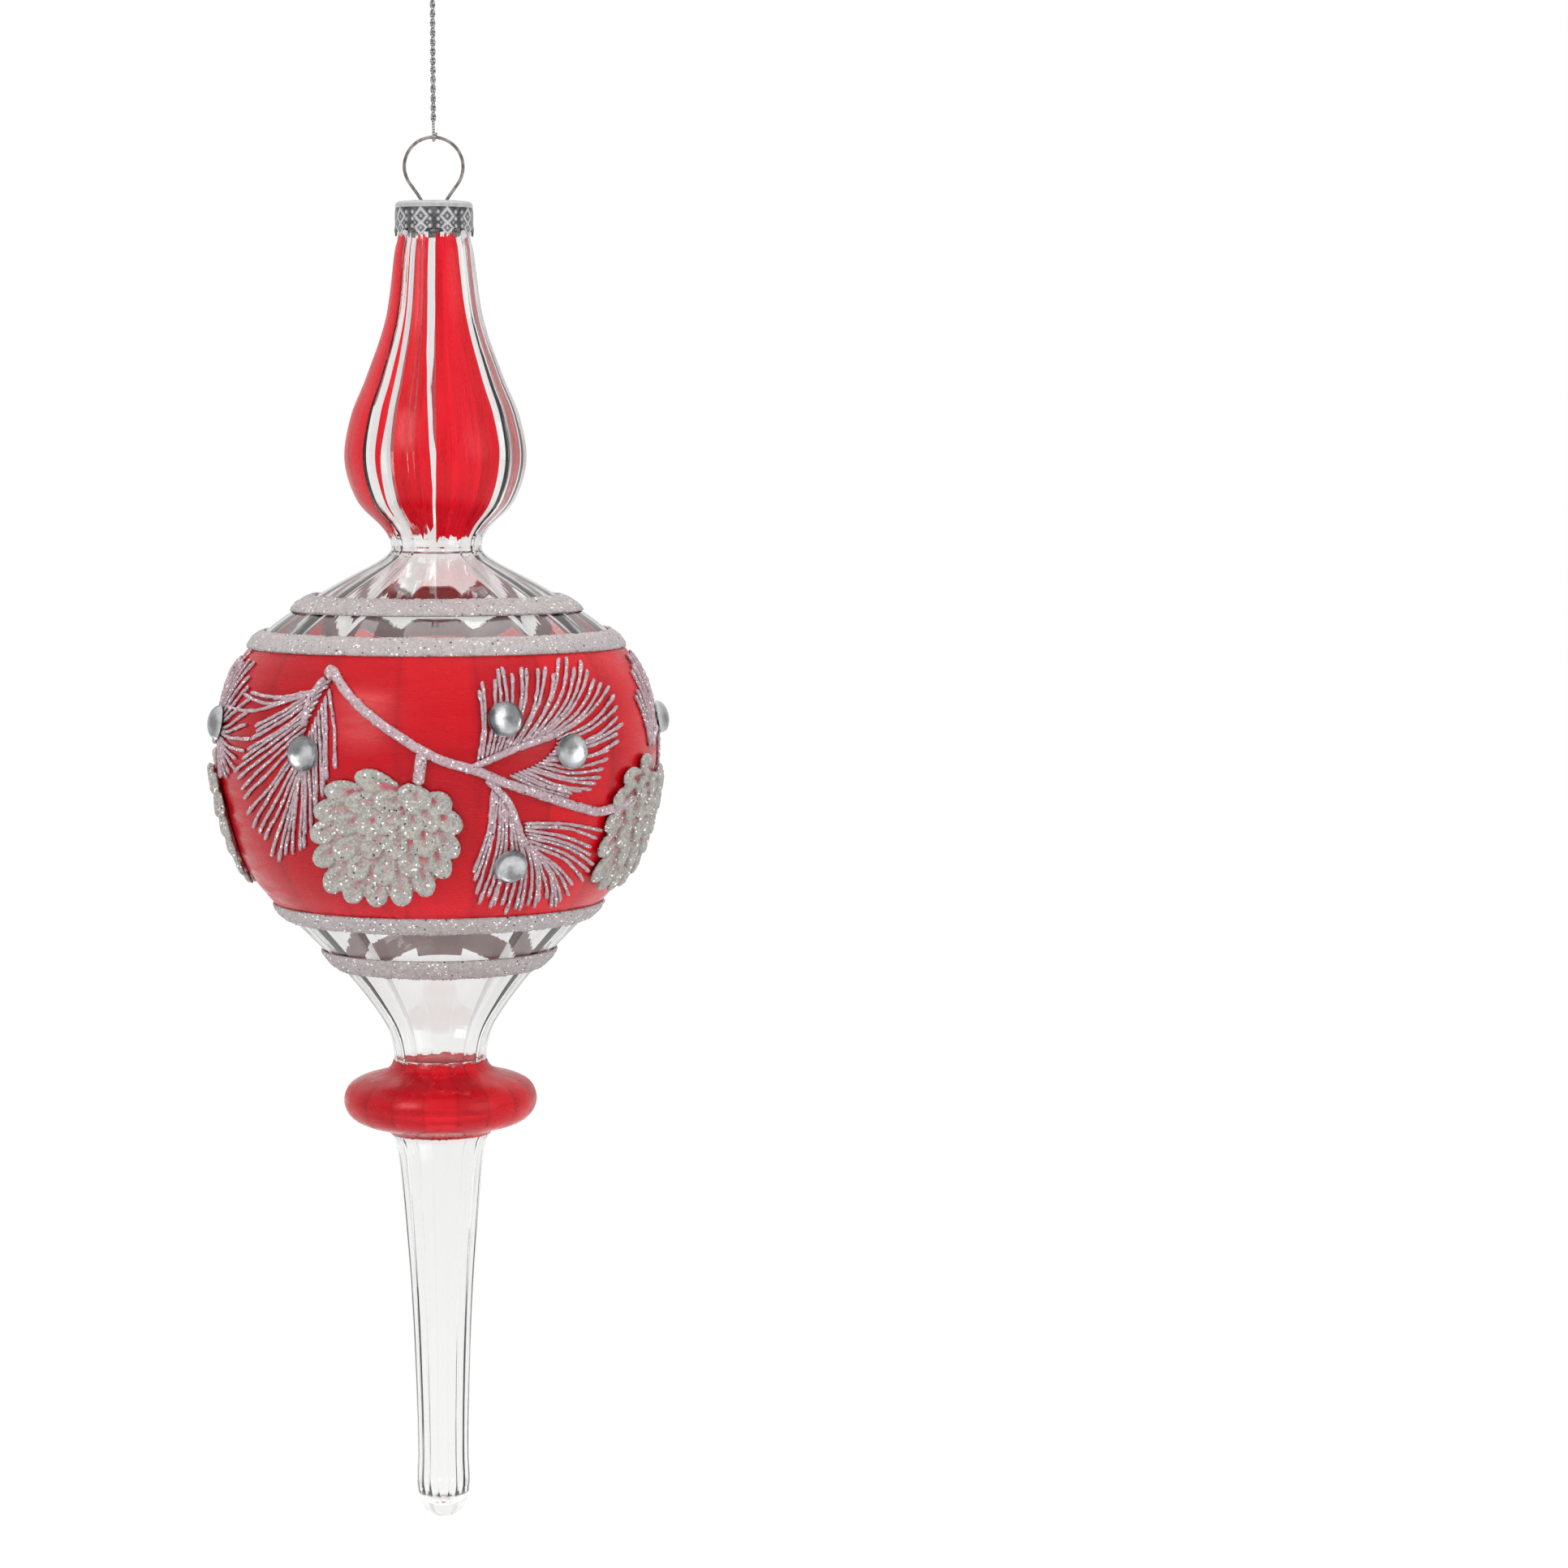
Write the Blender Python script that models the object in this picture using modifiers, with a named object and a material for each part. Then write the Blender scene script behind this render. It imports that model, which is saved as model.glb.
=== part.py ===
"""Icicle hanging ornament: a blown, fluted glass drop with lacquer, glitter lines and glass gems.

The origin is where the cord hangs, +Z is up and the decorated front faces -Y.
Run with: blender --background --python part.py
"""
import math

import bmesh
import bpy
from mathutils import Vector

OBJECT_NAME = "icicle_ornament"
MM = 0.001
SEGMENTS = 36                      # facets round every turned piece, two to a flute

# Cord: one thread doubled through the ring, knotted, with an eye above the knot.
STRAND_RADIUS = 0.24 * MM
STRAND_SPREAD = 0.27 * MM          # each strand's distance from the cord's middle
KNOT_RADIUS = 1.0 * MM
KNOT_HEIGHT = -8.7 * MM
CORD_GAP = 0.3 * MM
EYE_WIDTH = 2.3 * MM

# Wire hanger: a ring whose legs lean in, go through the cap and spread in the neck.
RING_TOP = -40.0 * MM
WIRE_RADIUS = 0.285 * MM
RING_RADIUS = 5.05 * MM            # to the middle of the wire
LEG_LEAN = 35.0                    # degrees, where the ring turns into the legs
LEG_SPREAD = 4.1 * MM
LEG_REACH = 14.0 * MM              # how far the legs reach below the cap's top

# Crown cap of pressed sheet.
CAP_TOP = RING_TOP - 11.35 * MM
CAP_RADIUS = 6.8 * MM
CAP_SHEET = 0.28 * MM
CAP_CORNER = 0.7 * MM
CAP_HEIGHT = 5.4 * MM
SKIRT_TIPS = 9
FIRST_SKIRT_TIP = 20.0             # degrees from the front
SKIRT_TIP_DROP = 0.75 * MM
LEG_HOLE_RADIUS = 0.7 * MM

# Blown glass: depth below the cap's top and radius, in millimetres, at each turn of the outline.
GLASS_STATIONS = (
    (1.2, 6.15),                   # cut mouth, inside the cap
    (6.2, 6.25),
    (9.0, 6.85),
    (20.0, 8.4),
    (30.0, 11.8),
    (37.0, 14.6),
    (44.5, 15.75),                 # bulb at its widest
    (51.5, 13.6),
    (56.0, 9.4),
    (58.7, 7.95),                  # waist
    (61.4, 9.2),
    (67.15, 19.6),
    (73.95, 29.6),
    (81.0, 35.3),
    (88.5, 37.5),
    (96.65, 38.1),                 # globe at its widest
    (108.65, 35.9),
    (118.5, 30.9),
    (132.15, 17.9),
    (138.95, 12.4),
    (144.0, 9.3),
    (148.6, 8.15),                 # lower neck
    (150.4, 8.7),
    (152.9, 14.1),
    (156.6, 16.85),                # collar at its widest
    (160.4, 14.6),
    (163.2, 8.9),
    (166.5, 7.75),                 # root of the icicle
    (175.55, 6.73),
    (192.95, 5.46),
    (210.0, 4.78),
    (219.5, 4.61),
    (225.0, 4.75),
    (228.9, 4.1),
    (231.0, 2.2),
    (231.7, 0.0),                  # tip
)
WALL = 0.95 * MM
FLUTE_DEPTH = 0.2 * MM
HOLLOW_DEPTH = 225.5               # millimetres, where the hollow ends above the solid tip
OUTER_TOLERANCE = 0.25 * MM        # how far the rows of the wall may stray from its smooth outline
INNER_TOLERANCE = 0.3 * MM

# Decoration on the glass. Depths are in millimetres below the cap's top.
SKIN_GAP = 0.15 * MM
SKIN = 0.15 * MM
BAND_HEIGHT = 0.65 * MM
BAND_DEPTHS = ((68.1, 70.7), (74.1, 77.0), (121.2, 124.1), (129.5, 132.9))
GLOBE_COAT_DEPTHS = (77.3, 120.9)
COLLAR_COAT_DEPTHS = (149.6, 163.6)
STRIPE_DEPTHS = (6.9, 56.4)
STRIPES = ((-70, 19), (-41, 4), (-15, 23), (21, 42), (118, 36), (196, 34))   # middle and width, degrees
MOTIF_OFFSET = 197                 # degrees between the two pine sprays
MOTIF_LIFT = SKIN_GAP + SKIN + 0.3 * MM
GEM_RADIUS = 3.0 * MM
GEM_HEIGHT = 2.5 * MM
GEMS = ((-35, 93.0), (17, 87.3), (35, 93.0), (19.5, 111.7), (86, 89.5))      # azimuth, depth
CONES = ((-14, 106.6), (69, 106.0))
CONE_HALF_WIDTH = 12.4 * MM
CONE_HALF_HEIGHT = 11.2 * MM
CONE_HEIGHT = 2.4 * MM
TWIGS = {                          # radius in millimetres, then azimuth and depth along each
    "pine_branch": (0.8, ((-29.4, 79.8), (-20.6, 84.9), (-10.6, 89.5), (-0.5, 93.4), (9.6, 95.6),
                          (17.8, 97.9), (34.7, 101.7), (45.5, 103.6))),
    "left_stem": (0.6, ((-31.6, 80.8), (-34.6, 84.0), (-36.0, 88.6))),
    "upper_twig": (0.55, ((12.4, 93.6), (20.0, 92.0), (29.0, 91.0))),
    "lower_twig": (0.55, ((18.2, 100.0), (20.4, 104.0), (20.8, 107.4))),
    "end_twig": (0.55, ((72.0, 93.4), (76.0, 91.4), (79.6, 90.6))),
}


def remove_startup_objects():
    for obj in list(bpy.data.objects):
        bpy.data.objects.remove(obj, do_unlink=True)


def new_collection(name):
    collection = bpy.data.collections.new(name)
    bpy.context.scene.collection.children.link(collection)
    return collection


def new_material(name, colour, roughness, metallic=0.0, transmission=0.0):
    material = bpy.data.materials.new(name)
    material.use_nodes = True
    shader = material.node_tree.nodes["Principled BSDF"]
    shader.inputs["Base Color"].default_value = (*colour, 1.0)
    shader.inputs["Roughness"].default_value = roughness
    shader.inputs["Metallic"].default_value = metallic
    shader.inputs["Transmission Weight"].default_value = transmission
    material.diffuse_color = (*colour, 1.0)
    return material


def add_object(name, data, collection, material=None):
    obj = bpy.data.objects.new(name, data)
    collection.objects.link(obj)
    if material:
        data.materials.append(material)
    return obj


def as_mesh(obj, collection, material):
    """Replace an object with the mesh its modifiers or bevel make, with the caps welded on."""
    depsgraph = bpy.context.evaluated_depsgraph_get()
    depsgraph.update()
    mesh = bpy.data.meshes.new_from_object(obj.evaluated_get(depsgraph))
    name, matrix = obj.name, obj.matrix_world.copy()
    bpy.data.objects.remove(obj, do_unlink=True)
    bm = bmesh.new()
    bm.from_mesh(mesh)
    bmesh.ops.remove_doubles(bm, verts=bm.verts, dist=0.002 * MM)
    bm.to_mesh(mesh)
    bm.free()
    mesh.materials.clear()
    baked = add_object(name, mesh, collection, material)
    baked.matrix_world = matrix
    return baked


def smooth_line(points, steps=8):
    """A Catmull-Rom curve through the points, with the given number of steps to a span."""
    points = [Vector(p) for p in points]
    padded = [2 * points[0] - points[1], *points, 2 * points[-1] - points[-2]]
    line = []
    for before, start, end, after in zip(padded, padded[1:], padded[2:], padded[3:]):
        for step in range(steps):
            t = step / steps
            line.append(0.5 * (2 * start + (end - before) * t
                               + (2 * before - 5 * start + 4 * end - after) * t ** 2
                               + (3 * start - before - 3 * end + after) * t ** 3))
    line.append(points[-1])
    return line


def thinned(line, tolerance):
    """The line with only the points that it needs to stay within the tolerance of itself."""
    kept = [0]
    for ahead in range(2, len(line)):
        start = line[kept[-1]]
        run = (line[ahead] - start).normalized()
        if max(abs(run.cross(point - start)) for point in line[kept[-1] + 1:ahead]) > tolerance:
            kept.append(ahead - 1)
    return [line[index] for index in kept] + [line[-1]]


def offset_line(line, distance):
    """The line moved sideways, outwards where it runs down the outside of a turned shape."""
    moved = []
    for index, point in enumerate(line):
        run = line[min(index + 1, len(line) - 1)] - line[max(index - 1, 0)]
        moved.append(point + distance * Vector((-run.y, run.x)).normalized())
    return moved


def glass_outline():
    """The outside of the glass as (radius, height), from the mouth down to the tip, in metres.

    Everything that lies on the glass takes its rows from this line, so the gaps stay even.
    """
    line = smooth_line([(radius * MM, CAP_TOP - depth * MM) for depth, radius in GLASS_STATIONS])
    return thinned([Vector((max(point.x, 0.0), point.y)) for point in line], OUTER_TOLERANCE)


def part_of(line, depths):
    """The stretch of the outline between two depths in millimetres, ends worked out exactly."""
    top, bottom = (CAP_TOP - depth * MM for depth in depths)
    top = min(top, line[0].y)
    inside = [point for point in line if bottom < point.y < top]
    return [point_at(line, top), *inside, point_at(line, bottom)]


def point_at(line, height):
    """Where the outline passes a height. It only ever runs downwards."""
    for above, below in zip(line, line[1:]):
        if below.y <= height <= above.y:
            return above.lerp(below, (above.y - height) / max(above.y - below.y, 1e-9))
    return line[-1].copy()


def on_glass(line, azimuth, depth, lift):
    """A point over the glass at an azimuth, 0 at the front, and depth, lifted along the normal."""
    height = CAP_TOP - depth * MM
    point = point_at(line, height)
    run = point_at(line, height - 0.5 * MM) - point_at(line, height + 0.5 * MM)
    normal = Vector((-run.y, run.x)).normalized()
    raised = point + lift * normal
    turn = math.radians(azimuth)
    out = Vector((math.sin(turn), -math.cos(turn), 0.0))
    return raised.x * out + Vector((0.0, 0.0, raised.y)), (normal.x * out + Vector((0, 0, normal.y)))


def turned(name, line, collection, material, closed=False, sweep=360.0, steps=SEGMENTS, start=0.0):
    """Turn a profile of (radius, height) points about Z, beginning at an angle from +X."""
    mesh = bpy.data.meshes.new(name)
    edges = [(index, index + 1) for index in range(len(line) - 1)]
    if closed:
        edges.append((len(line) - 1, 0))
    mesh.from_pydata([(point.x, 0.0, point.y) for point in line], edges, [])
    obj = add_object(name, mesh, collection, material)
    obj.rotation_euler.z = math.radians(start)
    screw = obj.modifiers.new("turn", "SCREW")
    screw.axis = "Z"
    screw.angle = math.radians(sweep)
    screw.steps = steps
    screw.render_steps = steps
    screw.use_merge_vertices = sweep == 360.0
    screw.merge_threshold = 0.001 * MM
    screw.use_smooth_shade = True
    return obj


def strand(name, points, radius, collection, material):
    """A round wire, thread or line of glue along the points."""
    curve = bpy.data.curves.new(name, "CURVE")
    curve.dimensions = "3D"
    curve.bevel_depth = radius
    curve.bevel_resolution = 2
    curve.use_fill_caps = True
    curve.render_resolution_u = 0
    spline = curve.splines.new("POLY")
    spline.points.add(len(points) - 1)
    for point, place in zip(spline.points, points):
        point.co = (*place, 1.0)
    return add_object(name, curve, collection, material)


def spaced(line, spacing):
    """The line again, with its points about the given distance apart."""
    length = sum((after - before).length for before, after in zip(line, line[1:]))
    count = max(2, round(length / spacing))
    points, travelled, wanted = [line[0]], 0.0, length / count
    for before, after in zip(line, line[1:]):
        step = (after - before).length
        while len(points) < count and travelled + step >= wanted * len(points):
            points.append(before.lerp(after, (wanted * len(points) - travelled) / step))
        travelled += step
    return points[:count] + [line[-1]]


def make_cord(parts, thread):
    wire_height = RING_TOP - WIRE_RADIUS
    bight = WIRE_RADIUS + STRAND_RADIUS + 0.12 * MM
    below_knot = KNOT_HEIGHT - KNOT_RADIUS - CORD_GAP
    above_knot = KNOT_HEIGHT + KNOT_RADIUS + CORD_GAP
    side = [(0.0, STRAND_SPREAD, below_knot), (0.0, STRAND_SPREAD, -24 * MM),
            (0.0, STRAND_SPREAD, wire_height + 2.6 * MM),
            (0.0, 0.85 * bight, wire_height + 0.8 * MM), (0.0, bight, wire_height - 0.1 * MM),
            (0.0, 0.6 * bight, wire_height - 0.8 * bight)]
    route = side + [(0.0, 0.0, wire_height - bight)] + [(x, -y, z) for x, y, z in reversed(side)]
    strand("cord_run", spaced(smooth_line(route), 1.1 * MM), STRAND_RADIUS, parts, thread)
    half = [(STRAND_SPREAD, 0.0, above_knot), (0.6 * EYE_WIDTH, 0.0, -5.4 * MM),
            (EYE_WIDTH, 0.0, -3.0 * MM), (0.75 * EYE_WIDTH, 0.0, -0.7 * MM)]
    eye = half + [(0.0, 0.0, STRAND_RADIUS)] + [(-x, y, z) for x, y, z in reversed(half)]
    strand("cord_eye", spaced(smooth_line(eye), 1.0 * MM), STRAND_RADIUS, parts, thread)
    bm = bmesh.new()
    bmesh.ops.create_uvsphere(bm, u_segments=12, v_segments=8, radius=KNOT_RADIUS)
    mesh = bpy.data.meshes.new("cord_knot")
    bm.to_mesh(mesh)
    bm.free()
    mesh.shade_smooth()
    add_object("cord_knot", mesh, parts, thread).location = (0.0, 0.0, KNOT_HEIGHT)


def hanger_side():
    """The wire's middle from the tip of the right leg up to the end of the ring's arc."""
    lean = math.radians(LEG_LEAN)
    centre = RING_TOP - WIRE_RADIUS - RING_RADIUS
    leave = Vector((RING_RADIUS * math.cos(lean), 0.0, centre - RING_RADIUS * math.sin(lean)))
    into_cap = CAP_TOP + 0.5 * MM
    plate_x = leave.x - (leave.z - into_cap) * math.tan(lean)
    below = [(LEG_SPREAD, CAP_TOP - LEG_REACH), (0.85 * LEG_SPREAD, CAP_TOP - 0.6 * LEG_REACH),
             (0.5 * LEG_SPREAD, CAP_TOP - 0.25 * LEG_REACH), (plate_x - 0.55 * MM, CAP_TOP - 1.0 * MM)]
    points = [(x, 0.0, z) for x, z in below] + [(plate_x, 0.0, into_cap)]
    return spaced(smooth_line(points + [tuple(leave)]), 1.2 * MM), centre


def make_hanger(parts, steel):
    leg, centre = hanger_side()
    first = math.radians(LEG_LEAN)
    arc_steps = 22
    arc = []
    for step in range(1, arc_steps):
        angle = -first + (math.pi + 2 * first) * step / arc_steps
        arc.append(Vector((RING_RADIUS * math.cos(angle), 0.0, centre + RING_RADIUS * math.sin(angle))))
    other = [Vector((-point.x, 0.0, point.z)) for point in reversed(leg)]
    strand("wire_hanger", leg + arc + other, WIRE_RADIUS, parts, steel)


def make_cap(parts, cutters, tin):
    """A pressed cap with a round rim, a skirt of nine points and two holes for the hanger."""
    corner = [Vector((CAP_RADIUS - CAP_CORNER * (1 - math.sin(turn)), CAP_TOP - CAP_CORNER * (1 - math.cos(turn))))
              for turn in (math.radians(angle) for angle in (0, 30, 60, 90))]
    outside = [Vector((0.0, CAP_TOP)), *corner, Vector((CAP_RADIUS, CAP_TOP - CAP_HEIGHT))]
    inside_radius = CAP_RADIUS - CAP_SHEET
    inside = [Vector((inside_radius, CAP_TOP - CAP_HEIGHT)), Vector((inside_radius, CAP_TOP - CAP_CORNER)),
              Vector((CAP_RADIUS - CAP_CORNER, CAP_TOP - CAP_SHEET)), Vector((0.0, CAP_TOP - CAP_SHEET))]
    cap = as_mesh(turned("crown_cap", outside + inside, parts, tin), parts, tin)
    for vertex in cap.data.vertices:
        if vertex.co.z < CAP_TOP - CAP_HEIGHT + 0.01 * MM:
            angle = math.atan2(vertex.co.x, -vertex.co.y) - math.radians(FIRST_SKIRT_TIP)
            vertex.co.z -= SKIRT_TIP_DROP * max(0.0, math.cos(SKIRT_TIPS * angle)) ** 1.5
    for side in (-1, 1):
        bpy.ops.mesh.primitive_cylinder_add(vertices=16, radius=LEG_HOLE_RADIUS, depth=2.0 * MM,
                                            location=(side * 1.78 * MM, 0.0, CAP_TOP))
        drill = bpy.context.object
        drill.name = f"leg_hole_{side}"
        for owner in drill.users_collection:
            owner.objects.unlink(drill)
        cutters.objects.link(drill)
        drill.hide_render = True
        drill.display_type = "WIRE"
        cut = cap.modifiers.new("leg hole", "BOOLEAN")
        cut.operation = "DIFFERENCE"
        cut.object = drill


def make_glass(line, parts, glass):
    """One blown shell, open at the neck, with flutes pressed into the inside of its wall."""
    inner = part_of(offset_line(line, -WALL), (GLASS_STATIONS[0][0], HOLLOW_DEPTH))
    hollow_end = Vector((0.0, CAP_TOP - HOLLOW_DEPTH * MM - 1.2 * MM))
    profile = [hollow_end, *reversed(thinned(inner, INNER_TOLERANCE)), *line]
    body = as_mesh(turned("glass_body", profile, parts, glass), parts, glass)
    for vertex in body.data.vertices:
        radius = math.hypot(vertex.co.x, vertex.co.y)
        outside = point_at(line, vertex.co.z).x
        facet = round(math.degrees(math.atan2(vertex.co.y, vertex.co.x)) * SEGMENTS / 360)
        inner_wall = 2.5 * MM < radius < outside - 0.6 * WALL and vertex.co.z > CAP_TOP - HOLLOW_DEPTH * MM
        if inner_wall and facet % 2 and vertex.co.z < CAP_TOP - 3 * MM:
            grow = 1 + FLUTE_DEPTH / radius
            vertex.co.x *= grow
            vertex.co.y *= grow


def skin_profile(line, depths, inner_gap, thickness):
    """A closed profile that lies over the glass between two depths."""
    stretch = part_of(line, depths)
    return offset_line(stretch, inner_gap + thickness) + list(reversed(offset_line(stretch, inner_gap)))


def band_profile(line, depths):
    """A line of glitter glue in section: flat on the glass and rounded outside."""
    top, bottom = depths
    middle = 0.5 * (top + bottom)
    edge = 0.18 * (bottom - top)
    stretch = [point_at(line, CAP_TOP - depth * MM) for depth in (top, top + edge, middle, bottom - edge, bottom)]
    lifted = [offset_line(stretch, SKIN_GAP + BAND_HEIGHT * share) for share in (0.25, 0.85, 1.0, 0.85, 0.25)]
    outside = [lifted[index][index] for index in range(5)]
    return outside + [offset_line(stretch, SKIN_GAP)[index] for index in (4, 2, 0)]


def make_coats(line, parts, lacquer, glitter):
    turned("globe_coat", skin_profile(line, GLOBE_COAT_DEPTHS, SKIN_GAP, SKIN), parts, lacquer, closed=True)
    turned("collar_coat", skin_profile(line, COLLAR_COAT_DEPTHS, SKIN_GAP, SKIN), parts, lacquer, closed=True)
    for number, depths in enumerate(BAND_DEPTHS, 1):
        turned(f"glitter_band_{number}", band_profile(line, depths), parts, glitter, closed=True)
    stretch = offset_line(part_of(line, STRIPE_DEPTHS), SKIN_GAP)
    for number, (middle, width) in enumerate(STRIPES, 1):
        stripe = turned(f"bulb_stripe_{number}", stretch, parts, lacquer, sweep=width,
                        steps=max(1, round(width / 8)), start=middle - 0.5 * width - 90)
        thicken = stripe.modifiers.new("thickness", "SOLIDIFY")
        thicken.thickness = SKIN
        thicken.offset = 1.0


def make_gem(line, name, azimuth, depth, parts, crystal):
    """A half-round glass stone, flat at its back, standing on the globe."""
    bm = bmesh.new()
    bmesh.ops.create_uvsphere(bm, u_segments=12, v_segments=8, radius=1.0)
    bmesh.ops.bisect_plane(bm, geom=bm.verts[:] + bm.edges[:] + bm.faces[:], plane_co=(0, 0, 0),
                           plane_no=(0, 0, 1), clear_inner=True, dist=1e-5)
    bmesh.ops.holes_fill(bm, edges=bm.edges, sides=0)
    bmesh.ops.recalc_face_normals(bm, faces=bm.faces)
    bmesh.ops.scale(bm, vec=(GEM_RADIUS, GEM_RADIUS, GEM_HEIGHT), verts=bm.verts)
    mesh = bpy.data.meshes.new(name)
    bm.to_mesh(mesh)
    bm.free()
    mesh.shade_smooth()
    place, normal = on_glass(line, azimuth, depth, MOTIF_LIFT)
    gem = add_object(name, mesh, parts, crystal)
    gem.location = place
    gem.rotation_mode = "QUATERNION"
    gem.rotation_quaternion = normal.to_track_quat("Z", "Y")


def make_cone(line, name, azimuth, depth, parts, paste):
    """A pine cone as one low pad that follows the globe, broad above and narrow below."""
    bm = bmesh.new()
    bmesh.ops.create_uvsphere(bm, u_segments=16, v_segments=8, radius=1.0)
    around = math.degrees(1.0 / point_at(line, CAP_TOP - depth * MM).x)
    for vertex in bm.verts:
        across, down, up = vertex.co.x, -vertex.co.y, max(vertex.co.z, 0.0)
        width = CONE_HALF_WIDTH * (1.0 - 0.16 * down)
        place, _ = on_glass(line, azimuth + across * width * around, depth + down * CONE_HALF_HEIGHT / MM,
                            MOTIF_LIFT + up * CONE_HEIGHT)
        vertex.co = place
    mesh = bpy.data.meshes.new(name)
    bm.to_mesh(mesh)
    bm.free()
    mesh.shade_smooth()
    add_object(name, mesh, parts, paste)


def make_twig(line, name, radius, route, turn, parts, glitter):
    flat = smooth_line([(azimuth + turn, depth) for azimuth, depth in route])
    places = [on_glass(line, azimuth, depth, MOTIF_LIFT + radius)[0] for azimuth, depth in flat]
    strand(name, spaced(places, 3.0 * radius), radius, parts, glitter)


def make_motifs(line, parts, glitter, paste, crystal):
    for motif in (1, 2):
        turn = MOTIF_OFFSET * (motif - 1)
        for number, (azimuth, depth) in enumerate(GEMS, 5 * motif - 4):
            make_gem(line, f"gem_{number}", azimuth + turn, depth, parts, crystal)
        for number, (azimuth, depth) in enumerate(CONES, 2 * motif - 1):
            make_cone(line, f"pine_cone_{number}", azimuth + turn, depth, parts, paste)
        for name, (radius, route) in TWIGS.items():
            make_twig(line, f"{name}_{motif}", radius * MM, route, turn, parts, glitter)


def main():
    remove_startup_objects()
    parts = new_collection(OBJECT_NAME)
    cutters = new_collection("cutters")
    thread = new_material("silver_thread", (0.62, 0.62, 0.63), 0.35, metallic=0.8)
    steel = new_material("steel_wire", (0.55, 0.53, 0.51), 0.25, metallic=1.0)
    tin = new_material("pressed_tin", (0.66, 0.66, 0.67), 0.3, metallic=1.0)
    glass = new_material("clear_glass", (0.95, 0.96, 0.97), 0.03, transmission=1.0)
    lacquer = new_material("red_lacquer", (0.7, 0.01, 0.03), 0.3)
    glitter = new_material("lilac_glitter", (0.6, 0.5, 0.52), 0.6)
    paste = new_material("cone_glitter", (0.5, 0.46, 0.42), 0.65)
    crystal = new_material("gem_glass", (0.85, 0.86, 0.87), 0.05, metallic=0.3)
    line = glass_outline()
    make_cord(parts, thread)
    make_hanger(parts, steel)
    make_cap(parts, cutters, tin)
    make_glass(line, parts, glass)
    make_coats(line, parts, lacquer, glitter)
    make_motifs(line, parts, glitter, paste, crystal)


main()
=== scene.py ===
import math
import random

import bpy
import numpy as np
from mathutils import Matrix, Vector, noise


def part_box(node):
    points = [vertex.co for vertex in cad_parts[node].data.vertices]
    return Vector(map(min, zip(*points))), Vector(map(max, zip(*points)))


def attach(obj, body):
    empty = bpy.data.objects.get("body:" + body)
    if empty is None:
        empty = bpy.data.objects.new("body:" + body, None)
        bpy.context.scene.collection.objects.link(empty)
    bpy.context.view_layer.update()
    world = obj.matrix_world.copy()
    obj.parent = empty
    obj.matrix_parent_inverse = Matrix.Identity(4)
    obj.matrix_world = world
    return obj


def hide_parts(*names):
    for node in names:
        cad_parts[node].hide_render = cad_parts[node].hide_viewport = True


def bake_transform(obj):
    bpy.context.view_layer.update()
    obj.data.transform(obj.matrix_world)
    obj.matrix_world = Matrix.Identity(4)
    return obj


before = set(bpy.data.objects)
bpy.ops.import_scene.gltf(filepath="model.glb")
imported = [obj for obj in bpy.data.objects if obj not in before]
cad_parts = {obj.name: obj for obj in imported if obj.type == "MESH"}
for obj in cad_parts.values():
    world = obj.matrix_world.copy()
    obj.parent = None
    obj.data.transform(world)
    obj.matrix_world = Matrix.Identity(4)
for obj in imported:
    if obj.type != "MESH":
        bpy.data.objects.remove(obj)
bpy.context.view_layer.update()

# Icicle ornament: blown fluted glass with red lacquer, glitter lines, pine sprays and glass gems.
# Everything is in metres. Depths are millimetres below the top of the cap, and azimuths are
# degrees round the glass, 0 at the front and growing towards +X.

mm = 0.001
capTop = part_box("crown_cap")[1].z
random.seed(12)


def deselectAll():
    if bpy.context.object and bpy.context.object.mode != "OBJECT":
        bpy.ops.object.mode_set(mode="OBJECT")
    bpy.ops.object.select_all(action="DESELECT")


def added(operator, **settings):
    # what an operator adds, alone in the selection
    deselectAll()
    operator(**settings)
    return bpy.context.object


def pick(*pieces):
    deselectAll()
    for piece in pieces:
        piece.select_set(True)
    bpy.context.view_layer.objects.active = pieces[0]


def rename(piece, name):
    piece.name = name
    piece.data.name = name
    return piece


def editAll(piece):
    pick(piece)
    bpy.ops.object.mode_set(mode="EDIT")
    bpy.ops.mesh.select_all(action="SELECT")


def applyAll(piece):
    pick(piece)
    for modifier in list(piece.modifiers):
        bpy.ops.object.modifier_apply(modifier=modifier.name)


def joinAs(name, pieces):
    pick(*pieces)
    if len(pieces) > 1:
        bpy.ops.object.join()
    return rename(bpy.context.object, name)


def copyOf(piece, name):
    twin = piece.copy()
    twin.data = piece.data.copy()
    bpy.context.scene.collection.objects.link(twin)
    return rename(twin, name)


def removePiece(piece):
    bpy.data.objects.remove(piece, do_unlink=True)


def dress(piece, *materials, angle=None):
    # smooth shading, up to an angle if one is given, and the materials
    pick(piece)
    if angle is None:
        bpy.ops.object.shade_smooth()
    else:
        bpy.ops.object.shade_smooth_by_angle(angle=math.radians(angle))
    piece.data.materials.clear()
    for material in materials:
        piece.data.materials.append(material)


def finishPiece(piece, body, replaced=()):
    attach(piece, body)
    if replaced:
        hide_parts(*replaced)


def smoothLine(points, steps):
    # a Catmull-Rom curve through the points
    points = [Vector(point) for point in points]
    padded = [2 * points[0] - points[1], *points, 2 * points[-1] - points[-2]]
    line = []
    for before, start, end, after in zip(padded, padded[1:], padded[2:], padded[3:]):
        for step in range(steps):
            t = step / steps
            line.append(0.5 * (2 * start + (end - before) * t
                               + (2 * before - 5 * start + 4 * end - after) * t ** 2
                               + (3 * start - before - 3 * end + after) * t ** 3))
    return line + [points[-1]]


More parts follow.
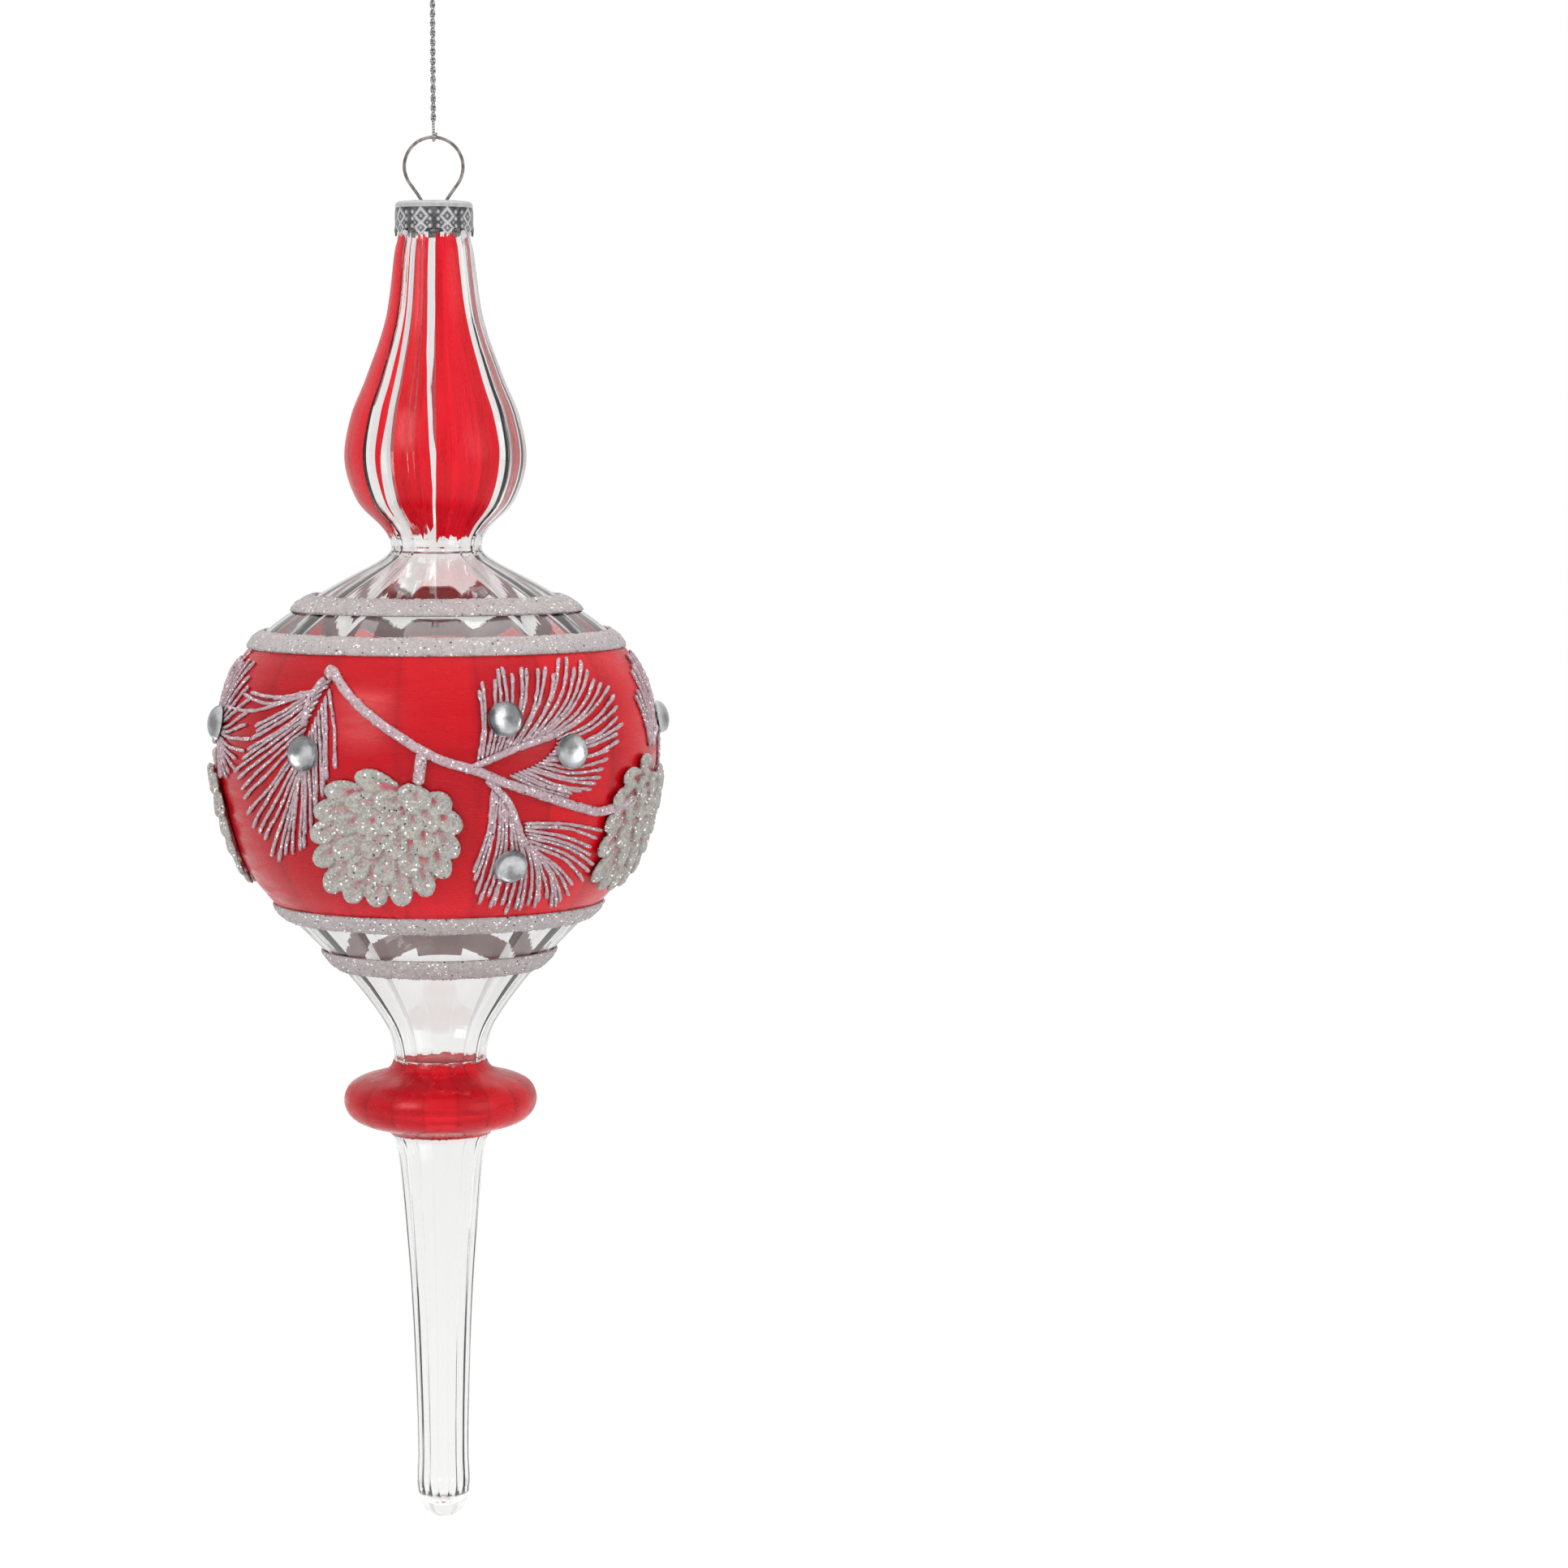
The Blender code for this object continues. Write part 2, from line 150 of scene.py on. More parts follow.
def spinLine(name, line, turns, closed=False):
    # a ring of vertices is moved to the profile, cut open if the profile is open, and spun
    piece = rename(added(bpy.ops.mesh.primitive_circle_add, vertices=len(line), radius=1.0), name)
    for vertex, (radius, height) in zip(piece.data.vertices, line):
        vertex.co = (radius, 0.0, height)
    bpy.ops.object.mode_set(mode="EDIT")
    if not closed:
        bpy.ops.mesh.select_mode(type="EDGE")
        bpy.ops.mesh.select_all(action="DESELECT")
        bpy.ops.object.mode_set(mode="OBJECT")
        for edge in piece.data.edges:
            edge.select = set(edge.vertices) == {0, len(line) - 1}
        bpy.ops.object.mode_set(mode="EDIT")
        bpy.ops.mesh.delete(type="EDGE")
        bpy.ops.mesh.select_mode(type="VERT")
    bpy.ops.mesh.select_all(action="SELECT")
    bpy.ops.mesh.spin(steps=turns, angle=2 * math.pi, center=(0, 0, 0), axis=(0, 0, 1))
    bpy.ops.mesh.select_all(action="SELECT")
    bpy.ops.mesh.remove_doubles(threshold=0.001 * mm)
    bpy.ops.mesh.normals_make_consistent(inside=False)
    bpy.ops.object.mode_set(mode="OBJECT")
    return piece


def faceOut(piece):
    # an open sheet round the glass: its faces look away from the axis
    facing = sum(p.normal.x * p.center.x + p.normal.y * p.center.y for p in piece.data.polygons)
    if facing < 0:
        editAll(piece)
        bpy.ops.mesh.flip_normals()
        bpy.ops.object.mode_set(mode="OBJECT")


def straightRod(name, radii, sides):
    # a round rod of unit length along z; radii are along its length
    count = len(radii) - 1
    profile = [(0.0, 0.0)] + [(radius, index / count) for index, radius in enumerate(radii)] + [(0.0, 1.0)]
    return spinLine(name, profile, sides)


def rodAlong(name, line, ups, radii, sides):
    rod = straightRod(name, radii, sides)
    bendAlong(rod, line, ups)
    return rod


def bendAlong(rod, line, ups):
    line = [Vector(point) for point in line]
    travelled = [0.0]
    for before, after in zip(line, line[1:]):
        travelled.append(travelled[-1] + (after - before).length)
    frames = []
    for index, point in enumerate(line):
        run = (line[min(index + 1, len(line) - 1)] - line[max(index - 1, 0)]).normalized()
        side = run.cross(Vector(ups[index])).normalized()
        frames.append((point, side, side.cross(run)))
    for vertex in rod.data.vertices:
        reach = vertex.co.z * travelled[-1]
        index = max(0, min(int(np.searchsorted(travelled, reach)) - 1, len(line) - 2))
        share = (reach - travelled[index]) / max(travelled[index + 1] - travelled[index], 1e-9)
        place, side, up = (a.lerp(b, share) for a, b in zip(frames[index], frames[index + 1]))
        vertex.co = place + side.normalized() * vertex.co.x + up.normalized() * vertex.co.y
    rod.data.update()


def roundEnded(radius, count, tip=None, taper=1.0):
    # radii along a rod whose ends are round; tip swells the far end
    radii = []
    for index in range(count + 1):
        t = index / count
        width = radius * (1 + (taper - 1) * t)
        if tip:
            width += (tip - radius * taper) * max(0.0, (t - 0.8) / 0.2) ** 2
        radii.append(width)
    radii[0] *= 0.6
    radii[-1] *= 0.6
    return radii


glassShape = {
    "stations": (   # depth and radius
        (1.2, 6.15), (6.2, 6.25), (9.0, 6.85), (20.0, 8.4), (30.0, 11.8), (37.0, 14.6),
        (44.5, 15.75), (51.5, 13.6), (56.0, 9.4), (58.7, 7.95), (61.4, 9.2), (67.15, 19.6),
        (73.95, 29.6), (81.0, 35.3), (88.5, 37.5), (96.65, 38.1), (108.65, 35.9), (118.5, 30.9),
        (132.15, 17.9), (138.95, 12.4), (144.0, 9.3), (148.6, 8.15), (150.4, 8.5), (151.6, 9.9),
        (152.8, 14.0), (154.2, 16.1), (156.6, 16.85), (158.9, 16.0), (160.4, 14.0), (161.5, 10.4),
        (162.3, 8.9), (165.6, 7.75), (175.55, 6.73), (192.95, 5.46),
        (210.0, 4.78), (219.5, 4.61), (225.0, 4.75), (228.9, 4.1), (231.0, 2.2), (231.7, 0.0)),
    "steps": 5,            # rows between two stations
    "turns": 144,          # steps round, eight to a flute
    "flutes": 18,
    "ridgeWall": 0.42,     # wall at the ridge between two flutes
    "fluteBow": 0.10,      # how far a flute's middle bows inwards
    "plainNeck": 3.0,      # no flutes above this depth
    "fadeIn": 6.0,
    "hollowEnd": 224.5,
}

outlineLine = [Vector((max(p.y, 0.0), p.x)) for p in smoothLine(glassShape["stations"], 12)]
outlineDepths = np.array([p.y for p in outlineLine])
outlineRadii = np.array([p.x for p in outlineLine])


def radiusAt(depth):
    return float(np.interp(depth, outlineDepths, outlineRadii))


def glassPoint(angle, depth, lift=0.0):
    # a point over the glass, angle in radians, lifted along the normal by metres
    slope = (radiusAt(depth + 0.3) - radiusAt(depth - 0.3)) / 0.6
    out = 1 / math.hypot(1.0, slope)
    radius = radiusAt(depth) * mm + lift * out
    return Vector((radius * math.sin(angle), -radius * math.cos(angle),
                   capTop - depth * mm + lift * slope * out))


def readPlace(point):
    # azimuth in radians, depth, and distance from the axis, both in millimetres
    return math.atan2(point.x, -point.y), (capTop - point.z) / mm, math.hypot(point.x, point.y) / mm


def glassNormal(angle, depth):
    return (glassPoint(angle, depth, 0.001) - glassPoint(angle, depth)).normalized()


def wrapFlat(piece, azimuth, depth):
    # x is across and y is up the glass from the place given, z is lift, all in metres
    for vertex in piece.data.vertices:
        x, y, lift = vertex.co
        down = depth - y / mm
        vertex.co = glassPoint(math.radians(azimuth) + x / (radiusAt(down) * mm), down, lift)
    piece.data.update()


def glassRoute(route, turn, lift, steps=5):
    # azimuth and depth pairs made a smooth line over the glass, with the normals along it
    flat = smoothLine([(azimuth + turn, depth) for azimuth, depth in route], steps)
    line = [glassPoint(math.radians(p.x), p.y, lift) for p in flat]
    return line, [glassNormal(math.radians(p.x), p.y) for p in flat]


shaderSockets = {"colour": "Base Color", "rough": "Roughness", "metal": "Metallic", "ior": "IOR",
                 "clear": "Transmission Weight"}


def newMaterial(name, **settings):
    material = bpy.data.materials.new(name)
    material.use_nodes = True
    shader = material.node_tree.nodes["Principled BSDF"]
    for key, value in settings.items():
        shader.inputs[shaderSockets[key]].default_value = (*value, 1.0) if key == "colour" else value
    return material


def addNode(tree, kind, links=(), **values):
    # values set a property of the node if it has one by that name, or else the input so named
    node = tree.nodes.new("ShaderNode" + kind)
    for key, value in values.items():
        if hasattr(node, key):
            setattr(node, key, value)
        else:
            node.inputs[key].default_value = value
    for socket, source in dict(links).items():
        tree.links.new(source, node.inputs[socket])
    return node


def doMath(tree, operation, first, second=None, third=None, clamp=False):
    node = tree.nodes.new("ShaderNodeMath")
    node.operation = operation
    node.use_clamp = clamp
    for index, value in enumerate((first, second, third)):
        if value is None:
            continue
        if isinstance(value, (int, float)):
            node.inputs[index].default_value = value
        else:
            tree.links.new(value, node.inputs[index])
    return node.outputs[0]


def mixColour(tree, factor, first, second):
    node = tree.nodes.new("ShaderNodeMix")
    node.data_type = "RGBA"
    for index, value in ((0, factor), (6, first), (7, second)):
        if isinstance(value, (int, float)):
            node.inputs[index].default_value = value
        elif isinstance(value, tuple):
            node.inputs[index].default_value = (*value, 1.0)
        else:
            tree.links.new(value, node.inputs[index])
    return node.outputs[2]


def remap(tree, value, low, high, toLow=0.0, toHigh=1.0):
    node = tree.nodes.new("ShaderNodeMapRange")
    node.interpolation_type = "SMOOTHSTEP"
    tree.links.new(value, node.inputs["Value"])
    for name, number in (("From Min", low), ("From Max", high), ("To Min", toLow), ("To Max", toHigh)):
        node.inputs[name].default_value = number
    return node.outputs[0]


def newGroup(name, inputs, outputs):
    group = bpy.data.node_groups.new(name, "ShaderNodeTree")
    for label, kind, value in inputs:
        socket = group.interface.new_socket(name=label, in_out="INPUT", socket_type=kind)
        socket.default_value = value
    for label, kind in outputs:
        group.interface.new_socket(name=label, in_out="OUTPUT", socket_type=kind)
    return group, group.nodes.new("NodeGroupInput"), group.nodes.new("NodeGroupOutput")


def placeGroup(tree, group, **values):
    node = tree.nodes.new("ShaderNodeGroup")
    node.node_tree = group
    for key, value in values.items():
        node.inputs[key].default_value = (*value, 1.0) if isinstance(value, tuple) else value
    return node


def objectPlace(tree):
    return tree.nodes.new("ShaderNodeTexCoord").outputs["Object"]


def makeAroundGroup():
    # a place measured round and along the glass, so a pattern keeps to the shape with no seam
    group, source, target = newGroup(
        "aroundTheGlass",
        (("Around", "NodeSocketFloat", 4.0), ("Along", "NodeSocketFloat", 40.0)),
        (("Place", "NodeSocketVector"),))
    parts = addNode(group, "SeparateXYZ", {"Vector": objectPlace(group)})
    flat = addNode(group, "CombineXYZ", {"X": parts.outputs["X"], "Y": parts.outputs["Y"]})
    unit = addNode(group, "VectorMath", {0: flat.outputs[0]}, operation="NORMALIZE")
    wide = addNode(group, "VectorMath", {0: unit.outputs[0], "Scale": source.outputs["Around"]},
                   operation="SCALE")
    turned = addNode(group, "SeparateXYZ", {"Vector": wide.outputs[0]})
    along = doMath(group, "MULTIPLY", parts.outputs["Z"], source.outputs["Along"])
    place = addNode(group, "CombineXYZ",
                    {"X": turned.outputs["X"], "Y": turned.outputs["Y"], "Z": along})
    group.links.new(place.outputs[0], target.inputs["Place"])
    return group


def makeStreakGroup(around):
    # brushed streaks in lacquer, or draw lines in glass: long one way and fine the other
    group, source, target = newGroup(
        "brushStreaks",
        (("Around", "NodeSocketFloat", 4.0), ("Along", "NodeSocketFloat", 40.0),
         ("Detail", "NodeSocketFloat", 3.0)),
        (("Streak", "NodeSocketFloat"),))
    place = placeGroup(group, around)
    for name in ("Around", "Along"):
        group.links.new(source.outputs[name], place.inputs[name])
    wave = addNode(group, "TexNoise",
                   {"Vector": place.outputs[0], "Detail": source.outputs["Detail"]},
                   Scale=1.0, Roughness=0.55, Distortion=0.3)
    group.links.new(wave.outputs["Fac"], target.inputs["Streak"])
    return group


def makeGlitterGroup():
    # grains of glitter in dried glue: colour from grain to grain, a few flashing, each one raised
    group, source, target = newGroup(
        "glitterGrains",
        (("Grain", "NodeSocketFloat", 2900.0), ("Light", "NodeSocketColor", (0.7, 0.6, 0.62, 1.0)),
         ("Dark", "NodeSocketColor", (0.4, 0.3, 0.32, 1.0)), ("Flashing", "NodeSocketFloat", 0.95)),
        (("Colour", "NodeSocketColor"), ("Rough", "NodeSocketFloat"), ("Metal", "NodeSocketFloat"),
         ("Height", "NodeSocketFloat")))
    cells = addNode(group, "TexVoronoi",
                    {"Vector": objectPlace(group), "Scale": source.outputs["Grain"]}, Randomness=1.0)
    chance = addNode(group, "SeparateColor", {"Color": cells.outputs["Color"]})
    patches = addNode(group, "TexNoise", {"Vector": objectPlace(group)}, Scale=420.0, Detail=2.0)
    tone = doMath(group, "ADD", doMath(group, "MULTIPLY", chance.outputs[0], 0.75),
                  doMath(group, "MULTIPLY", patches.outputs["Fac"], 0.35), clamp=True)
    flash = doMath(group, "GREATER_THAN", chance.outputs[1], source.outputs["Flashing"])
    speck = doMath(group, "LESS_THAN", chance.outputs[2], 0.012)
    colour = mixColour(group, tone, source.outputs["Dark"], source.outputs["Light"])
    colour = mixColour(group, flash, colour, (1.0, 0.98, 0.98))
    colour = mixColour(group, speck, colour, (0.07, 0.05, 0.05))
    group.links.new(colour, target.inputs["Colour"])
    group.links.new(remap(group, flash, 0, 1, 0.55, 0.08), target.inputs["Rough"])
    group.links.new(doMath(group, "MULTIPLY", flash, 0.9), target.inputs["Metal"])
    dome = doMath(group, "SUBTRACT", 1.0, cells.outputs["Distance"], clamp=True)
    group.links.new(dome, target.inputs["Height"])
    return group


def addBump(material, height, distance, strength):
    tree = material.node_tree
    bump = addNode(tree, "Bump", {"Height": height}, Strength=strength, Distance=distance)
    tree.links.new(bump.outputs[0], tree.nodes["Principled BSDF"].inputs["Normal"])


def feed(material, **sources):
    tree = material.node_tree
    for key, source in sources.items():
        tree.links.new(source, tree.nodes["Principled BSDF"].inputs[shaderSockets[key]])


glassFinish = {"tint": (0.89, 0.89, 0.885), "rough": 0.012, "ior": 1.46, "tipDot": (0.32, 0.07, 0.05),
               "dotHeight": (0.0004, 0.0009), "dotReach": (0.0006, 0.0012)}
lacquerFinish = {"deep": (0.72, 0.003, 0.02), "bright": (0.95, 0.008, 0.028), "clear": 0.72}
bandFinish = {"light": (0.44, 0.395, 0.395), "dark": (0.27, 0.24, 0.24), "under": (0.95, 0.62, 0.60)}
lineFinish = {"light": (0.50, 0.375, 0.405), "dark": (0.25, 0.17, 0.19)}
# the cones' third colour goes in the hollows between the scales: partly the red coat through thin glue, partly
# painted shade
coneFinish = {"light": (0.42, 0.40, 0.37), "dark": (0.21, 0.195, 0.18), "thinAndShaded": (0.45, 0.10, 0.125)}


def makeGlassMaterial(streaks):
    material = newMaterial("blownGlass", rough=glassFinish["rough"], ior=glassFinish["ior"], clear=1.0)
    tree = material.node_tree
    parts = addNode(tree, "SeparateXYZ", {"Vector": objectPlace(tree)})
    out = addNode(tree, "CombineXYZ", {"X": parts.outputs["X"], "Y": parts.outputs["Y"]})
    reach = addNode(tree, "VectorMath", {0: out.outputs[0]}, operation="LENGTH")
    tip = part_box("glass_body")[0].z
    solid, clear = glassFinish["dotHeight"]
    low = remap(tree, parts.outputs["Z"], tip + solid, tip + clear, 1.0, 0.0)
    near = remap(tree, reach.outputs["Value"], *glassFinish["dotReach"], 1.0, 0.0)
    dot = doMath(tree, "MULTIPLY", low, near)
    feed(material, colour=mixColour(tree, dot, glassFinish["tint"], glassFinish["tipDot"]))
    draw = placeGroup(tree, streaks, Around=9.0, Along=14.0, Detail=2.0)
    feed(material, rough=remap(tree, draw.outputs[0], 0.3, 0.8, 0.0, 0.03))
    addBump(material, draw.outputs[0], 0.00012, 0.35)
    return material


def makeLacquerMaterial(name, streaks, around, along, paintedFacetShade=0.0):
    material = newMaterial(name, rough=0.3, ior=1.3, clear=lacquerFinish["clear"])
    tree = material.node_tree
    wide = placeGroup(tree, streaks, Around=around, Along=along, Detail=2.0)
    fine = placeGroup(tree, streaks, Around=around * 2.7, Along=along * 2.7, Detail=2.0)
    marks = doMath(tree, "ADD", doMath(tree, "MULTIPLY", wide.outputs[0], 0.6),
                   doMath(tree, "MULTIPLY", fine.outputs[0], 0.4))
    tone = remap(tree, marks, 0.3, 0.7, 0.25, 1.0)
    if paintedFacetShade:
        parts = addNode(tree, "SeparateXYZ", {"Vector": objectPlace(tree)})
        turn = doMath(tree, "ARCTAN2", parts.outputs["X"], doMath(tree, "MULTIPLY", parts.outputs["Y"], -1.0))
        wave = doMath(tree, "COSINE", doMath(tree, "MULTIPLY", turn, float(glassShape["flutes"])))
        # painted shade: the coat is darkened along the ridges between the flutes
        ridgeShade = remap(tree, wave, -1.0, -0.86, paintedFacetShade, 0.0)
        # painted light and shade: each flat facet gets its own lighter or darker tone, standing in for light
        # through the fluted glass behind the coat
        number = doMath(tree, "ROUND", doMath(tree, "MULTIPLY", turn, glassShape["flutes"] / (2 * math.pi)))
        chance = addNode(tree, "TexWhiteNoise", {"W": number}, noise_dimensions="1D")
        facetLightTone = doMath(tree, "MULTIPLY_ADD", chance.outputs["Value"], 0.9, -0.45)
        tone = doMath(tree, "SUBTRACT", doMath(tree, "MULTIPLY_ADD", tone, 0.22, 0.52), ridgeShade)
        tone = doMath(tree, "ADD", tone, facetLightTone, clamp=True)
    feed(material, colour=mixColour(tree, tone, lacquerFinish["deep"], lacquerFinish["bright"]))
    feed(material, rough=remap(tree, fine.outputs[0], 0.3, 0.7, 0.2, 0.38))
    addBump(material, fine.outputs[0], 0.00004, 0.2)
    return material


def makeGlitterMaterial(name, glitter, finish, grain, flashing, thinAndShadedHollows=False):
    material = newMaterial(name, rough=0.55)
    tree = material.node_tree
    grains = placeGroup(tree, glitter, Grain=grain, Light=finish["light"], Dark=finish["dark"],
                        Flashing=flashing)
    colour = grains.outputs["Colour"]
    # in the hollows between scales the glitter turns darker and redder: partly the red coat showing through
    # thin glue, partly painted shade
    if thinAndShadedHollows:
        thinAndShaded = addNode(tree, "Attribute", attribute_name="thinAndShaded").outputs["Fac"]
        red = mixColour(tree, 0.45, colour, finish["thinAndShaded"])
        thinAndShadedColour = mixColour(tree, thinAndShaded, colour, red)
        colour = mixColour(tree, remap(tree, thinAndShaded, 0.6, 1.0), thinAndShadedColour, finish["thinAndShaded"])
    feed(material, colour=colour, rough=grains.outputs["Rough"], metal=grains.outputs["Metal"])
    addBump(material, grains.outputs["Height"], 0.00012, 0.8)
    return material


def makeUndersideMaterial():
    # the smooth back of the glue, seen through the glass
    material = newMaterial("glueUnderside", rough=0.5)
    tree = material.node_tree
    grain = addNode(tree, "TexNoise", {"Vector": objectPlace(tree)}, Scale=1500.0, Detail=3.0)
    shade = tuple(0.8 * value for value in bandFinish["under"])
    feed(material, colour=mixColour(tree, grain.outputs["Fac"], shade, bandFinish["under"]))
    addBump(material, grain.outputs["Fac"], 0.00005, 0.4)
    return material


def makeMetalMaterial(name, light, dark, rough, grainScale, attribute=None):
    material = newMaterial(name, metal=1.0, rough=rough)
    tree = material.node_tree
    stains = addNode(tree, "TexNoise", {"Vector": objectPlace(tree)}, Scale=grainScale, Detail=4.0)
    factor = remap(tree, stains.outputs["Fac"], 0.35, 0.7)
    # painted shade: the colour follows the attribute, dark where it is low; on the cap the flat sheet between
    # the pressed motifs is painted dark as shade
    if attribute:
        reliefShade = addNode(tree, "Attribute", attribute_name=attribute).outputs["Fac"]
        factor = doMath(tree, "ADD", doMath(tree, "MULTIPLY", reliefShade, 0.85),
                        doMath(tree, "MULTIPLY", factor, 0.15))
    feed(material, colour=mixColour(tree, factor, dark, light))
    feed(material, rough=remap(tree, stains.outputs["Fac"], 0.3, 0.7, rough - 0.08, rough + 0.08))
    addBump(material, stains.outputs["Fac"], 0.00003, 0.4)
    return material


def makeThreadMaterial():
    # lurex thread: fine bright filaments wound round each strand
    material = newMaterial("silverThread", metal=0.6, rough=0.35)
    tree = material.node_tree
    place = objectPlace(tree)
    wound = addNode(tree, "Mapping", {"Vector": place})
    wound.inputs["Rotation"].default_value = (0.5, 0.0, 0.4)
    lines = addNode(tree, "TexWave", {"Vector": wound.outputs[0]}, bands_direction="Z",
                    Scale=700.0, Distortion=2.5, Detail=2.0)
    lines.inputs["Detail Scale"].default_value = 2.0
    glints = addNode(tree, "TexNoise", {"Vector": place}, Scale=2600.0, Detail=2.0)
    tone = doMath(tree, "ADD", doMath(tree, "MULTIPLY", lines.outputs["Fac"], 0.7),
                  doMath(tree, "MULTIPLY", remap(tree, glints.outputs["Fac"], 0.4, 0.65), 0.5), clamp=True)
    feed(material, colour=mixColour(tree, tone, (0.03, 0.03, 0.032), (0.50, 0.50, 0.51)))
    feed(material, rough=remap(tree, tone, 0.0, 1.0, 0.5, 0.2))
    addBump(material, tone, 0.00005, 0.8)
    return material


def makeGemMaterial():
    material = newMaterial("gemGlass", colour=(0.98, 0.985, 0.99), rough=0.0, ior=1.52, clear=1.0)
    tree = material.node_tree
    swirl = addNode(tree, "TexNoise", {"Vector": objectPlace(tree)}, Scale=260.0, Detail=1.0)
    feed(material, rough=remap(tree, swirl.outputs["Fac"], 0.35, 0.75, 0.0, 0.03))
    feed(material, colour=mixColour(tree, swirl.outputs["Fac"], (0.94, 0.95, 0.96), (1.0, 1.0, 1.0)))
    return material


def makeMaterials():
    around = makeAroundGroup()
    streaks = makeStreakGroup(around)
    glitter = makeGlitterGroup()
    made = {
        "glass": makeGlassMaterial(streaks),
        "stripe": makeLacquerMaterial("stripeLacquer", streaks, 8.0, 40.0),
        "coat": makeLacquerMaterial("coatLacquer", streaks, 1.6, 260.0, paintedFacetShade=0.3),
        "band": makeGlitterMaterial("bandGlitter", glitter, bandFinish, 3500.0, 0.97),
        "line": makeGlitterMaterial("lineGlitter", glitter, lineFinish, 3500.0, 0.94),
        "cone": makeGlitterMaterial("coneGlitter", glitter, coneFinish, 3000.0, 0.965, thinAndShadedHollows=True),
        "under": makeUndersideMaterial(),
        # pressed tin: painted shade on the flat sheet between the motifs, painted light on the pressed pattern
        # and the top
        "tin": makeMetalMaterial("pressedTin", (0.72, 0.72, 0.73), (0.07, 0.068, 0.072), 0.27, 1300.0,
                                 "reliefShade"),
        "steel": makeMetalMaterial("springSteel", (0.40, 0.35, 0.33), (0.17, 0.14, 0.13), 0.24, 900.0),
        "foil": makeMetalMaterial("mirrorFoil", (0.62, 0.625, 0.63), (0.17, 0.172, 0.175), 0.25, 330.0),
        "thread": makeThreadMaterial(),
        "gem": makeGemMaterial(),
    }
    print("materials ready:", len(made))
    return made


cameraSetup = {"place": (0.0, -0.696, -0.09205), "tilt": 85.031, "turn": -4.986, "lens": 91.304}
stageSetup = {"floorHeight": -0.42, "floorRadius": 3.0, "floorGlow": 0.76}
lights = (   # name, place, aim height, size, watts
    ("keyLight", (-0.75, -0.85, 0.35), -0.12, 0.5, 7.0),
    ("fillLight", (0.9, -0.7, 0.1), -0.14, 0.6, 4.0),
    ("topLight", (0.1, 0.2, 0.8), -0.12, 0.7, 6.0),
)


def makeCamera():
    turn = tuple(math.radians(angle) for angle in (cameraSetup["tilt"], 0.0, cameraSetup["turn"]))
    camera = added(bpy.ops.object.camera_add, location=cameraSetup["place"], rotation=turn)
    camera.name = "frontCamera"
    camera.data.sensor_width = 36.0
    camera.data.lens = cameraSetup["lens"]
    bpy.context.scene.camera = camera
    print("camera placed")


def makeStage():
    floor = rename(added(bpy.ops.mesh.primitive_circle_add, vertices=96, radius=stageSetup["floorRadius"],
                         fill_type="NGON", location=(0, 0, stageSetup["floorHeight"])), "paleFloor")
    plaster = newMaterial("paleFloor", colour=(0.28, 0.28, 0.28), rough=0.9)
    glow = plaster.node_tree.nodes["Principled BSDF"].inputs
    glow["Emission Color"].default_value = (1.0, 1.0, 1.0, 1.0)
    glow["Emission Strength"].default_value = stageSetup["floorGlow"]
    floor.data.materials.append(plaster)
    for name, place, aimHeight, size, watts in lights:
        lamp = added(bpy.ops.object.light_add, type="AREA", location=place)
        lamp.name = name
        lamp.data.shape = "SQUARE"
        lamp.data.size = size
        lamp.data.energy = watts
        lamp.visible_glossy = False
        aim = Vector((0.0, 0.0, aimHeight)) - Vector(place)
        lamp.rotation_euler = aim.to_track_quat("-Z", "Y").to_euler()
    print("stage and lights placed")


worldSetup = {"strips": 8, "stripEdge": 0.93, "throughGlass": 1.0, "throughStrip": 0.8,
              "mirrored": 0.88, "mirroredStrip": 0.68, "mirroredAbove": 1.2, "diffuse": 0.8}


def makeWorld():
    # a white tent with soft dark strips, which only glass and metal see
    world = bpy.data.worlds.new("whiteTent")
    bpy.context.scene.world = world
    world.use_nodes = True
    tree = world.node_tree
    background = tree.nodes["Background"]
    toward = tree.nodes.new("ShaderNodeTexCoord").outputs["Generated"]
    parts = addNode(tree, "SeparateXYZ", {"Vector": toward})
    turn = doMath(tree, "ARCTAN2", parts.outputs["X"], parts.outputs["Y"])
    wave = doMath(tree, "COSINE", doMath(tree, "MULTIPLY", turn, float(worldSetup["strips"])))
    strip = remap(tree, doMath(tree, "MULTIPLY", wave, -1.0), worldSetup["stripEdge"] - 0.25, 1.0)
    grey = {key: (worldSetup[key],) * 3 for key in worldSetup}
    through = mixColour(tree, strip, grey["throughGlass"], grey["throughStrip"])
    above = remap(tree, parts.outputs["Z"], 0.25, 0.75)
    mirrored = mixColour(tree, strip, grey["mirrored"], grey["mirroredStrip"])
    mirrored = mixColour(tree, above, mirrored, grey["mirroredAbove"])
    path = tree.nodes.new("ShaderNodeLightPath").outputs
    colour = mixColour(tree, path["Is Glossy Ray"], grey["diffuse"], mirrored)
    colour = mixColour(tree, path["Is Transmission Ray"], colour, through)
    colour = mixColour(tree, path["Is Camera Ray"], colour, (1.0, 1.0, 1.0))
    tree.links.new(colour, background.inputs["Color"])
    bpy.context.scene.view_settings.view_transform = "Standard"
    print("world ready")


cordSetup = {
    "wire": -40.285,         # middle of the hanger's wire; heights in millimetres
    "knotHeight": -8.7,
    "knotRadius": 1.0,
    "gap": 0.3,
    "strand": 0.24,          # radius of one strand
    "spread": 0.25,          # from the cord's middle to a strand's
    "pitch": 3.2,
    "untwist": 2.6,          # above the wire, where the strands part
}


